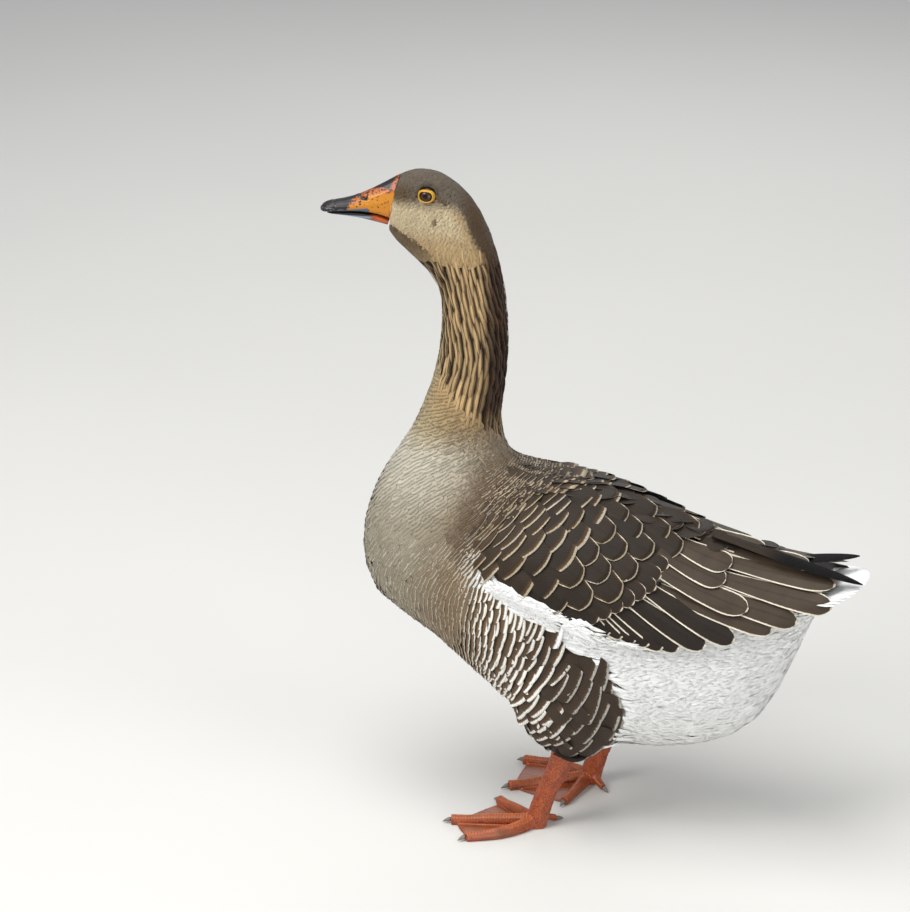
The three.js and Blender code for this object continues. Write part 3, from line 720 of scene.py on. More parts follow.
def vane_mesh(name, spine, across, up, half, outline, columns, thick, camber, tone, rim, patch_at,
              patch=0.003, drop=0.0, skew=0.0, crisp=True, arc=0.0):
    """One mesh of many closed vanes; a crisp one has a sharp edge round its rim.

    spine, across and up are (count, rings, 3) in the goose's millimetres; half is each half
    width; outline gives each ring's share of it; columns are the places across, -1 to 1. camber
    raises the middle, skew one side, and drop every place by its own amount; arc draws the sides
    back from the middle, so the tip is a curve. patch_at and patch place the baked patch.
    """
    count, rings = spine.shape[:2]
    u = np.asarray(columns, float)
    m = len(u)
    wide = (half[:, None] * outline)[..., None]
    top = spine[:, :, None] + across[:, :, None] * (wide * u)[..., None]
    rise = camber * (1 - u * u) * (wide / wide.max()) + skew * u * wide
    top = top + up[:, :, None] * (rise + drop)[..., None]
    if arc:
        swept = (arc * half[:, None, None] * u * u)[..., None]
        top = top - unit(np.gradient(spine, axis=1))[:, :, None] * swept
    keel = spine - up * thick * np.clip(outline, 0.2, 1)[..., None]
    ring = m + 1
    points = np.concatenate([top, keel[:, :, None]], 2).reshape(-1, 3)
    k, i = np.meshgrid(np.arange(rings - 1), np.arange(ring), indexing="ij")
    j = (i + 1) % ring
    quads = np.stack([k * ring + i, k * ring + j, (k + 1) * ring + j, (k + 1) * ring + i], -1)
    caps = np.concatenate([np.arange(ring)[::-1], (rings - 1) * ring + np.arange(ring)])
    loops = np.concatenate([quads.reshape(-1), caps])
    sizes = np.concatenate([np.full((rings - 1) * ring, 4), [ring, ring]])
    offset = (np.arange(count) * rings * ring)[:, None]
    every = (loops[None] + offset).ravel().astype(np.int32)
    totals = np.tile(sizes, count)
    mesh = bpy.data.meshes.new(name)
    mesh.vertices.add(len(points))
    mesh.vertices.foreach_set("co", world(points).ravel())
    mesh.loops.add(len(every))
    mesh.loops.foreach_set("vertex_index", every)
    mesh.polygons.add(len(totals))
    mesh.polygons.foreach_set("loop_start", np.concatenate([[0], np.cumsum(totals)[:-1]]).astype(np.int32))
    mesh.polygons.foreach_set("use_smooth", np.ones(len(totals), bool))
    mesh.update(calc_edges=True)
    v = np.repeat(np.linspace(0, 1, rings), ring)
    local = np.stack([np.tile(np.append(u / 2 + 0.5, 0.5), rings), v], 1)
    baked = patch_at[:, None] + (local[None] - 0.5) * patch
    for title, flat in (("OFBake", baked.reshape(-1, 2)), ("Vane", np.tile(local, (count, 1)))):
        layer = mesh.uv_layers.new(name=title)
        layer.data.foreach_set("uv", flat[every].ravel())
    for title, values in (("tone", tone), ("rim", rim)):
        held = mesh.attributes.new(title, "FLOAT_COLOR", "POINT")
        if values.ndim == 2:
            values = np.repeat(values[:, None], rings, 1)
        held.data.foreach_set("color", np.repeat(values.reshape(-1, 4), ring, 0).ravel())
    if crisp:
        side = np.tile(np.append(np.sign(u) * (np.abs(u) == 1), 0), rings * count)
        ends = read(mesh.edges, "vertices", 2, np.int32)
        sharp = mesh.attributes.new("sharp_edge", "BOOLEAN", "EDGE")
        sharp.data.foreach_set("value", (side[ends[:, 0]] != 0) & (side[ends[:, 0]] == side[ends[:, 1]]))
    return mesh


def with_alpha(colour, alpha):
    """Colours with a fourth value, the same for all or one for each."""
    fourth = np.broadcast_to(np.asarray(alpha, float)[..., None], colour.shape[:-1] + (1,))
    return np.concatenate([colour, fourth], -1)


def level_lines(level):
    """The chains of places on the coarse form where the row number is level."""
    values = row[field.faces] - level
    over = values > 0
    crossed = over.any(1) & ~over.all(1)
    links, places = {}, {}
    for face, v in zip(field.faces[crossed].tolist(), values[crossed].tolist()):
        ends = []
        for i in range(3):
            j = (i + 1) % 3
            if (v[i] > 0) != (v[j] > 0):
                key = (min(face[i], face[j]), max(face[i], face[j]))
                if key not in places:
                    t = v[i] / (v[i] - v[j])
                    places[key] = field.points[face[i]] * (1 - t) + field.points[face[j]] * t
                ends.append(key)
        links.setdefault(ends[0], []).append(ends[1])
        links.setdefault(ends[1], []).append(ends[0])
    chains = []
    while links:
        here = next(iter(links))
        chain = [here]
        while here in links:
            onward = links.pop(here)
            following = [key for key in onward if key in links]
            if not following:
                break
            here = following[0]
            chain.append(here)
        if len(chain) > 3:
            chains.append(np.array([places[key] for key in chain]))
    return chains


tips, wides, gaps, levels = [], [], [], []
for level in range(1, int(row.max())):
    for chain in level_lines(level):
        gap = spacing(chain)
        broad = ramp(chain[:, 2], 480, 420) * (1 - whiteness(chain))
        wide = 1.0 + (1.25 + 0.9 * broad) * gap
        steps = np.linalg.norm(np.diff(chain, axis=0), axis=1) / ((wide[1:] + wide[:-1]) / 2)
        run = np.concatenate([[0], np.cumsum(steps)])
        at = np.arange(0.5 * (level % 2) + 0.25, run[-1], 1.0)
        at = at + rng.uniform(-0.14, 0.14, len(at))
        tips.append(np.stack([np.interp(at, run, chain[:, i]) for i in range(3)], 1))
        gaps.append(np.interp(at, run, gap))
        wides.append(np.interp(at, run, wide))
        levels.append(np.full(len(at), level))
tips, gaps, wides, levels = (np.concatenate(values) for values in (tips, gaps, wides, levels))
tips, _ = form.near(tips)


def combed(ends, lengths, rings, yaw=0.0):
    """Centre lines from root to tip along the lie of the coat, on the form, with their frames."""
    line, ups = [], []
    at = ends
    for step in range(3):
        at, spot = form.near(at)
        line.append(at)
        ups.append(unit(form.value(form.normals, spot)))
        if step < 2:
            way = unit(field.value(lie, field.near(at)[1]))
            turned = way + np.cross(ups[-1], way) * np.reshape(yaw, (-1, 1))
            at = at - unit(turned) * (lengths / 2)[:, None]
    tip, middle, root = line
    v = np.linspace(0, 1, rings)[None, :, None]
    curve = [a[:, None] for a in (root, middle, tip)]
    spine = curve[0] * (2 * v - 1) * (v - 1) + curve[1] * 4 * v * (1 - v) + curve[2] * v * (2 * v - 1)
    up = unit(ups[2][:, None] * (1 - v) + ups[0][:, None] * v)
    tangent = unit(np.gradient(spine, axis=1))
    across = unit(np.cross(tangent, up))
    return spine, across, unit(np.cross(across, tangent)), root


def rounded(rings, root=0.35, widest=0.62, power=0.5):
    """A contour feather's outline: narrow at the root, full at two thirds, with a round tip."""
    v = np.linspace(0, 1, rings)
    grow = root + (1 - root) * ramp(v, 0, widest)
    close = np.sqrt(np.clip(1 - np.clip((v - widest) / (1 - widest), 0, 1) ** 2, 0, 1)) ** (2 * power)
    return grow * np.maximum(close, 0.14)


def blunt(rings, root=0.6, widest=0.7, end=0.75):
    """A broad feather's outline, still wide at its tip."""
    v = np.linspace(0, 1, rings)
    grow = root + (1 - root) * ramp(v, 0, widest)
    return grow * (1 - (1 - end) * np.clip((v - widest) / (1 - widest), 0, 1) ** 2)


def coat(name, keep, finish, outline, columns, reach, width, deep, bend, thick, camber, lift,
         yaw=0.08, scatter=0.1, skew=0.0, strands=1, uneven=0.0, ruffle=0.06, arc=0.0, white_only=False):
    """A coat piece on the kept feather places; it reaches over several rows and lies flat.

    reach is a feather's length in rows, and width its breadth over the room between neighbours.
    The root lies deep under the outside, bend says how late it comes up, and lift raises the tip.
    yaw, scatter, uneven and ruffle are how far the turn, length, place and height of one feather
    stray. strands splits each feather into so many narrow tufts.
    """
    rings = len(outline)
    ends, gap, wide, level = tips[keep], gaps[keep], wides[keep], levels[keep]
    if strands > 1 or uneven:
        ends, gap, wide, level = (np.repeat(values, strands, 0) for values in (ends, gap, wide, level))
        way = unit(field.value(lie, field.near(ends)[1]))
        beside = np.cross(way, unit(form.value(form.normals, form.near(ends)[1])))
        place = np.tile((np.arange(strands) - (strands - 1) / 2) / strands, len(ends) // strands)
        place = place + rng.uniform(-0.3, 0.3, len(ends)) / strands
        ends = ends + beside * (place * wide)[:, None]
        ends = ends + way * (rng.normal(0, max(uneven, 1e-6), len(ends)) * gap)[:, None]
        ends = form.near(ends)[0]
    count = len(ends)
    lengths = gap * reach * rng.uniform(1 - scatter, 1 + scatter, count) + 2.0
    lengths = np.minimum(lengths, gap * (level + 0.1))
    half = 0.5 * wide * width / strands * rng.uniform(0.95, 1.08, count)
    if white_only:
        half, lengths = np.minimum(half, 3.2), np.minimum(lengths, 34)
    spine, across, up, root = combed(ends, lengths, rings, rng.normal(0, yaw, count))
    v = np.linspace(0, 1, rings)
    depth = np.minimum(deep, coat_depth(ends))[:, None]
    stray = rng.normal(0, ruffle, count)[:, None] * gap[:, None] * v
    height = -depth * (1 - v) ** bend + lift * v ** 3 + stray
    spine = spine + up * height[..., None]
    tone, rim, strength = markings(ends, np.full(count, float(white_only)))
    tone = tone * np.exp(rng.normal(0, 0.05, count))[:, None]
    mesh = vane_mesh(name, spine, across, up, half, outline, columns, thick, camber,
                     with_alpha(tone, 1.0), with_alpha(rim, strength), unwrap(root), skew=skew, arc=arc)
    thing = scene_object(name, mesh, finish)
    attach(thing, "root")
    return thing


f, l, z = tips.T
wing_nodes = Surface(merged("wing_copy", ["wing_left", "wing_right"]).data)
bpy.data.objects.remove(bpy.data.objects["wing_copy"])
close_to_wing = 4 + 5 * ramp(f, -180, -240)
to_wing = np.linalg.norm(tips - wing_nodes.near(tips)[0], axis=1)
wing_in = np.where(to_wing < close_to_wing, on_wing(tips), -60)
turn = neck_angle(tips)
along, side, _ = head_place(tips)
eye_places = {}
round_eye = np.full(len(tips), 9.0)
for which in ("left", "right"):
    low, high = (goose(corner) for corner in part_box("eye_" + which))
    eye_places[which] = (low + high) / 2
    eye_along, eye_side, eye_up = head_place(eye_places[which])
    apart = np.hypot((along - eye_along) / 8.6, (z - eye_up) / 6.9)
    round_eye = np.where(side * eye_side > 0, apart, round_eye)
lock_zone = (z > lock_foot(turn)) & (z < HEAD_FOOT)
three = [-1, 0, 1]
five = [-1, -0.55, 0, 0.55, 1]
seven = [-1, -0.7, -0.35, 0, 0.35, 0.7, 1]

# Velvet head feathers: tiny, dense and almost flat, so the face reads as fine nap.
velvet = plumage("head_feather_keratin", barb=0.5, fringe=0.2, sheen=0.06, rough=0.8, cloud=0.2)
nap = velvet.node_tree.nodes["Principled BSDF"]
nap.inputs["Subsurface Weight"].default_value = 0.45
nap.inputs["Subsurface Radius"].default_value = (0.003, 0.003, 0.003)
on_head = (z >= HEAD_FOOT - 6 * ramp(turn, 60, 20)) & (round_eye > 1)
coat("head_feathers", on_head, velvet, rounded(5, 0.7, 0.7), three, reach=3.4,
     width=1.5, deep=1.3, bend=3.8, thick=0.04, camber=0.03, lift=0.01, yaw=0.1, scatter=0.2,
     uneven=0.2, ruffle=0.02)

# Lower neck and chest: small soft feathers whose broad tips make fine level ripples.
soft = plumage("breast_feather_keratin", barb=0.16, fringe=0.34, sheen=0.08, rough=0.75, aspect=2.5,
               sides=0.4, cloud=0.25, wrap=0.55)
is_white = whiteness(tips) > 0.5
body_part = (z <= HEAD_FOOT) & ~lock_zone & (wing_in < 3)
mantle = body_part & (z > 300) & (f <= 66) & ~is_white
on_breast = body_part & ~mantle & ~is_white & (f > 60) & (z > 300 - 2.2 * (f - 60))
flank = body_part & ~mantle & ~is_white & ~on_breast & (z > 75) & (f > -120)
white = (z <= HEAD_FOOT) & (wing_in < 2 - 6 * ramp(f, -50, -80)) & is_white
behind_flank = flank_end(z) - f - 11 * ramp(z, 235, 215)
white &= (behind_flank > -4) | (f < -225) | (z < 130)
white &= ((f > -276) | (z < 258)) & (z < 288)
blades = Surface(merged("blade_copy", ["primaries_left", "primaries_right"]).data)
bpy.data.objects.remove(bpy.data.objects["blade_copy"])
white &= np.linalg.norm(tips - blades.near(tips)[0], axis=1) > 9
for which, hand in HANDS.items():
    coat("breast_feathers_" + which, on_breast & (hand * l > 0), soft,
         blunt(6, 0.6, 0.7, 0.85), five, reach=3.0, width=1.7, deep=6.5, bend=3.1, thick=0.06,
         camber=0.08, lift=0.05, yaw=0.07, uneven=0.09, ruffle=0.03, arc=0.08)

# Flank feathers: broad, dark and blunt, each with a pale tip, so the rows read as wavy bars.
barred = plumage("flank_feather_keratin", barb=0.1, fringe=0.25, sheen=0.06, rough=0.68, aspect=1.8,
                 sides=0.4, cloud=0.4, warm=0.5, wrap=0.6)
coat("flank_feathers", flank, barred, blunt(9, 0.6, 0.75, 0.85), seven, reach=2.6,
     width=1.5, deep=7.0, bend=1.7, thick=0.2, camber=0.3, lift=0.3, yaw=0.06, scatter=0.08,
     skew=0.04, uneven=0.05, ruffle=0.04, arc=0.11)

# Mantle feathers: small and dark at the neck's foot, wider over the back, thinly fringed.
small = mantle & ((gaps < 8) | (z > 380))
coat("shoulder_feathers", small, barred, blunt(7, 0.6, 0.7, 0.88), five, reach=3.0,
     width=1.8, deep=5.0, bend=2.4, thick=0.1, camber=0.15, lift=0.1, yaw=0.03, uneven=0.03,
     ruffle=0.02, arc=0.08)
over_back = plumage("mantle_feather_keratin", barb=0.08, fringe=0.2, sheen=0.06, rough=0.64,
                    aspect=2.4, sides=0.5, warm=0.4, wrap=0.65)
coat("mantle_feathers", mantle & ~small, over_back, blunt(8, 0.6, 0.65, 0.65), seven,
     reach=2.6, width=1.16, deep=5.0, bend=2.2, thick=0.15, camber=0.3, lift=0.1, uneven=0.06, arc=0.36)

# White feathers of the belly, vent and tail coverts: long, loose and downy.
snow = plumage("white_feather_keratin", barb=0.12, fringe=0.2, sheen=0.25, rough=0.8, cloud=0.06)
down = snow.node_tree.nodes["Principled BSDF"]
down.inputs["Subsurface Weight"].default_value = 0.5
down.inputs["Subsurface Radius"].default_value = (0.006, 0.006, 0.006)
for which, hand in HANDS.items():
    coat("white_feathers_" + which, white & (hand * l > 0), snow,
         rounded(6, 0.5, 0.4, 0.9), three, reach=5.6, width=1.9, deep=6.0, bend=2.9, thick=0.07,
         camber=0.08, lift=0.0, yaw=0.16, scatter=0.3, strands=3, uneven=0.5, ruffle=0.02,
         white_only=True)

# Skin under the coat: matt, tinted by the same markings so that no gap looks bare, and darkened by noise to
# between 0.35 and 0.85 of that tone as painted shade in the gaps between feathers; under white plumage the
# tone is raised by up to a half.
hide, tree, surface = material("feather_base_skin")
base = add(tree, "ShaderNodeAttribute", attribute_name="tone")
place = add(tree, "ShaderNodeTexCoord").outputs["Object"]
pores = add(tree, "ShaderNodeTexNoise", [("Vector", place), ("Scale", 300.0), ("Detail", 3.0)])
shade = add(tree, "ShaderNodeMath", [(0, pores.outputs["Fac"]), (1, 0.5), (2, 0.35)],
            operation="MULTIPLY_ADD")
shaded_under_coat = add(tree, "ShaderNodeMix", [
    ("Factor", 1.0), ("A", base.outputs["Color"]), ("B", shade),
], data_type="RGBA", blend_type="MULTIPLY")
tree.links.new(shaded_under_coat.outputs["Result"], surface.inputs["Base Color"])
surface.inputs["Roughness"].default_value = 0.8
tinted = skin_mesh.attributes.new("tone", "FLOAT_COLOR", "POINT")
skin_tone = markings(skin.points)[0] * (1 + 0.5 * whiteness(skin.points))[:, None]
tinted.data.foreach_set("color", with_alpha(skin_tone, 1.0).ravel())
skin_mesh.polygons.foreach_set("use_smooth", np.ones(len(skin_mesh.polygons), bool))
skin_thing = scene_object("goose_skin", skin_mesh, hide)
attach(skin_thing, "root")
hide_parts(*BODY, *PAIRS)

# ---- Neck locks ------------------------------------------------------------------------------
# The neck feathers of a goose stand in furrowed columns: long pointed locks, leaning back near the head
# and hanging straight lower down. Their colour has a painted highlight along each crest and painted shade in
# the grooves.
NECK_COLUMNS = 18
LOCK_PITCH = 19.0
STRANDS = 8


def neck_skin(angle, height, hand):
    """Places on the coat's outside at degrees round the neck and a height."""
    out = []
    for a, h in zip(np.radians(angle).ravel().tolist(), height.ravel().tolist()):
        centre = NECK_STATION + 14 * float(ramp(h, 520, 430)) + 4 * float(ramp(h, 600, 630))
        outward = Vector((math.cos(a), hand * math.sin(a), -0.05))
        hit = form.tree.ray_cast(Vector((centre, 0, h)), outward)
        out.append(tuple(hit[0]))
    return np.array(out).reshape(angle.shape + (3,))


def lean(height):
    """Degrees round the neck that the columns have turned by at a height."""
    return -34 * ramp(height, 500, 625)


angles, crowns, hands, lengths = [], [], [], []
for hand in HANDS.values():
    for column in range(-4, NECK_COLUMNS + 5):
        middle = (column + 0.5) * 180 / NECK_COLUMNS
        height = 640 - LOCK_PITCH * (0.5 * (column % 2) + rng.uniform(0, 0.2))
        while height > 424:
            size = rng.uniform(29, 40)
            place = middle + lean(height - size / 2)
            if -2 < place < 182 and height - size * 0.6 > lock_foot(place) - 6:
                angles.append(middle + rng.normal(0, 0.8))
                crowns.append(height)
                lengths.append(size)
                hands.append(hand)
            height -= LOCK_PITCH * rng.uniform(0.9, 1.1)
angles, crowns, lengths, hands = (np.array(a, float) for a in (angles, crowns, lengths, hands))
rings = 7
v = np.linspace(0, 1, rings)
heights = crowns[:, None] - lengths[:, None] * v
bends = rng.normal(0, 2.4, (len(angles), 1)) * np.sin(math.pi * v)
bends = bends + rng.normal(0, 1.6, (len(angles), 1)) * v
turned = angles[:, None] + lean(heights) + bends
middle_line = np.stack([
    neck_skin(turned[i:i + 1], heights[i:i + 1], hands[i])[0] for i in range(len(angles))])
normal = form.near(middle_line)[1]
normal = unit(form.value(form.normals, normal)).reshape(middle_line.shape)
tangent = unit(np.gradient(middle_line, axis=1))
across = unit(np.cross(tangent, normal))
lens_shape = np.sin(math.pi * np.clip(0.1 + 0.9 * v, 0, 1)) ** 0.7
u = np.linspace(-1, 1, STRANDS)
count = len(angles)
girth = 1.0 + 0.42 * ramp(heights[:, 3], 520, 440)
wide = 3.3 * girth[:, None, None] * lens_shape[None, :, None] * u * rng.uniform(0.8, 1.15, (count, 1, 1))
fray = rng.normal(0, 0.3, (count, 1, STRANDS)) * v[None, :, None]
ridge = (1 - np.abs(u) ** 1.5) * lens_shape[None, :, None] * 4.3 - 4.1 + 0.9 * v[None, :, None]
spine = (middle_line[:, :, None] + across[:, :, None] * (wide + fray)[..., None]
         + normal[:, :, None] * ridge[..., None])
tone, rim, _ = markings(middle_line.reshape(-1, 3))
tone = tone.reshape(middle_line.shape)[:, :, None]
# The strands' colour is painted light: a highlight along each lock's crest, strongest at its middle, and
# painted shade in the grooves at its sides.
groove_shade = np.array(linear("#33210f"))
crest_light = ((1 - np.abs(u)) ** 0.9)[None, None, :, None]
crest_highlight = tone * (0.25 + 1.2 * crest_light * (0.6 + 0.4 * np.sin(math.pi * v))[None, :, None, None])
colour = groove_shade * (1 - crest_light) * 0.7 + crest_highlight * (0.1 + 0.9 * crest_light)
colour = colour * np.exp(rng.normal(0, 0.13, (count, 1, 1, 1)) + rng.normal(0, 0.1, (count, 1, STRANDS, 1)))


def strand_order(a):
    """The locks' arrays with every strand as a vane of its own."""
    return np.moveaxis(a, 2, 1).reshape((count * STRANDS, rings) + a.shape[3:])


neck_nap = plumage("neck_feather_keratin", barb=0.3, fringe=0.2, sheen=0.06, rough=0.66)
at = np.repeat(unwrap(middle_line[:, 0]), STRANDS, 0)
frames = [np.broadcast_to(a[:, :, None], spine.shape) for a in (across, normal)]
locks = vane_mesh("neck_locks", strand_order(spine), strand_order(frames[0]), strand_order(frames[1]),
                  np.repeat(0.85 * girth, STRANDS), 0.35 + 0.65 * lens_shape, [-1, 0, 1], 0.25, 0.35,
                  strand_order(with_alpha(colour, 1.0)), with_alpha(np.zeros((count * STRANDS, 3)), 0.0), at,
                  crisp=False)
locks = scene_object("neck_locks", locks, neck_nap)
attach(locks, "root")

# ---- Wings -----------------------------------------------------------------------------------
# Each folded wing is a stack of dark vanes with thin pale fringes. Rows of coverts lean up and
# back over its shoulder, greater coverts close them off, and below and behind lie the long
# secondaries and tertials, the inner ones on top. The far wing mirrors the near one.
COVERT_ROWS = [-141, -136, -131, -126, -120, -114, -107, -100, -92, -83, -73, -62, -49, -32, -13, 8,
               29, 51, 74, 97]
ROW_LEVEL = 207


def wing_frame(hand):
    out = np.array([0, hand * math.cos(TILT), math.sin(TILT)])
    rise = np.array([0, -hand * math.sin(TILT), math.cos(TILT)])
    return out, rise


def cast_on(places, hand):
    """How far out from the wing's plane the form lies at (station, height up its slope) pairs."""
    out, rise = wing_frame(hand)
    depth = np.full(len(places), np.nan)
    start, way = 400 * out, Vector(-out)
    for i, (station, s) in enumerate(places.tolist()):
        hit = form.tree.ray_cast(Vector((station, s * rise[1] + start[1], s * rise[2] + start[2])), way)
        if hit[0] is not None:
            depth[i] = 400 - hit[3]
    return depth


def wing_vanes(name, hand, roots, ends, half, outline, columns, layers, rise, tone, rim, finish,
               bow=0.0, thick=0.5, camber=1.0, cells=None, slump=0.55, skew=0.0, arc=0.0):
    """Vanes laid on a folded wing from roots to tips, given in the wing's plane.

    layers lifts each vane, rise each ring; bow bends it sideways and slump is how steeply it may
    follow the form down. cells gives large vanes a cell each of the baked colours instead of a
    patch at the root: the first cell and how many there are.
    """
    out, up_slope = wing_frame(hand)
    rings, m, count = outline.shape[-1], len(columns), len(roots)
    v = np.linspace(0, 1, rings)[None, :, None]
    lengths = np.linalg.norm(ends - roots, axis=1)
    way = (ends - roots) / lengths[:, None]
    beside = np.stack([way[:, 1], -way[:, 0]], 1)
    line = roots[:, None] * (1 - v) + ends[:, None] * v
    line = line + beside[:, None] * (np.reshape(bow, (-1, 1, 1)) * 4 * v * (1 - v))
    u = np.asarray(columns, float)
    wide = half[:, None] * outline
    grid = line[:, :, None] + beside[:, None, None] * (wide[..., None] * u)[..., None]
    grid = grid - way[:, None, None] * (arc * half[:, None, None] * u * u)[..., None]
    depth = cast_on(grid.reshape(-1, 2), hand).reshape(count, rings, m)
    centre = depth[:, :, m // 2]
    fall = slump * (lengths / (rings - 1))[:, None]
    filled = np.where(np.isnan(centre), -1e3, centre)
    filled[:, 0] = np.where(filled[:, 0] < -900, np.nanmax(centre, 1), filled[:, 0])
    for k in range(1, rings):
        filled[:, k] = np.maximum(filled[:, k], filled[:, k - 1] - fall[:, 0])
    drop = np.where(np.isnan(depth), -1e3, depth) - filled[..., None]
    limit = 0.75 * np.abs(wide[..., None] * u)
    drop = np.clip(drop, -limit, 0.25 * limit)
    spine = (line[..., :1] * np.array([1.0, 0, 0]) + line[..., 1:] * up_slope
             + (filled + np.reshape(layers, (-1, 1)) + rise)[..., None] * out)
    side = np.concatenate([beside[:, :1], beside[:, 1:] * up_slope[1], beside[:, 1:] * up_slope[2]], 1)
    across = np.broadcast_to(hand * side[:, None], spine.shape)
    up = np.broadcast_to(out, spine.shape)
    if hand < 0:
        drop = drop[..., ::-1]
    if cells is None:
        at, patch = unwrap(spine[:, 0]), 0.003
    else:
        per_row = math.ceil(math.sqrt(cells[1]))
        place = cells[0] + np.arange(count)
        at = (np.stack([place % per_row, place // per_row], 1) + 0.5) / per_row
        patch = 0.9 / per_row
    mesh = vane_mesh(name, spine, across, up, half, outline, columns, thick, camber, tone, rim, at,
                     patch=patch, drop=drop, skew=skew, arc=arc)
    thing = scene_object(name, mesh, finish)
    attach(thing, "root")
    return thing


def row_lean(back):
    """How far back a covert row runs for each millimetre it climbs; the front rows lean most."""
    return 0.82 - 0.4 * ramp(back, -50, 5)


def row_station(back, s):
    """The station of a covert row at a height up the wing. Each row steepens as it climbs."""
    climb = s - ROW_LEVEL
    return -back - 29.64 - (row_lean(back) - 0.0015 * climb) * climb


def row_slope(back, s):
    """How fast a covert row runs back at that height."""
    return row_lean(back) - 0.003 * (s - ROW_LEVEL)


def pitch(gap):
    """Millimetres up the wing from one covert to its neighbour in the row."""
    return 23 + 3 * ramp(gap, 12, 20)


GREATER = np.array([(-38, 138), (-52, 136), (-80, 150), (-105, 168), (-119, 184), (-122, 201),
                    (-130, 217)], float)
cover = plumage("wing_covert_keratin", barb=0.07, fringe=0.1, sheen=0.05, rough=0.6, shaft_fold_shade=0.2,
                aspect=3.2, sides=0.8, cloud=0.5, warm=0.35, wrap=0.97)
lesser = plumage("lesser_covert_keratin", barb=0.09, fringe=0.075, sheen=0.05, rough=0.62,
                 aspect=1.5, sides=0.5, cloud=0.5, warm=0.6, wrap=0.8)
quill_vane = plumage("flight_feather_keratin", barb=0.03, fringe=0.13, sheen=0.04, rough=0.5,
                     shaft_fold_shade=0.3, aspect=8.0, cloud=0.6)
dark, mid, grey, pale_rim, cold_rim = shades("#241a10", "#35281a", "#3f3122", "#c8b999", "#d4cab6")
nine = [-1, -0.8, -0.5, -0.22, 0, 0.22, 0.5, 0.8, 1]

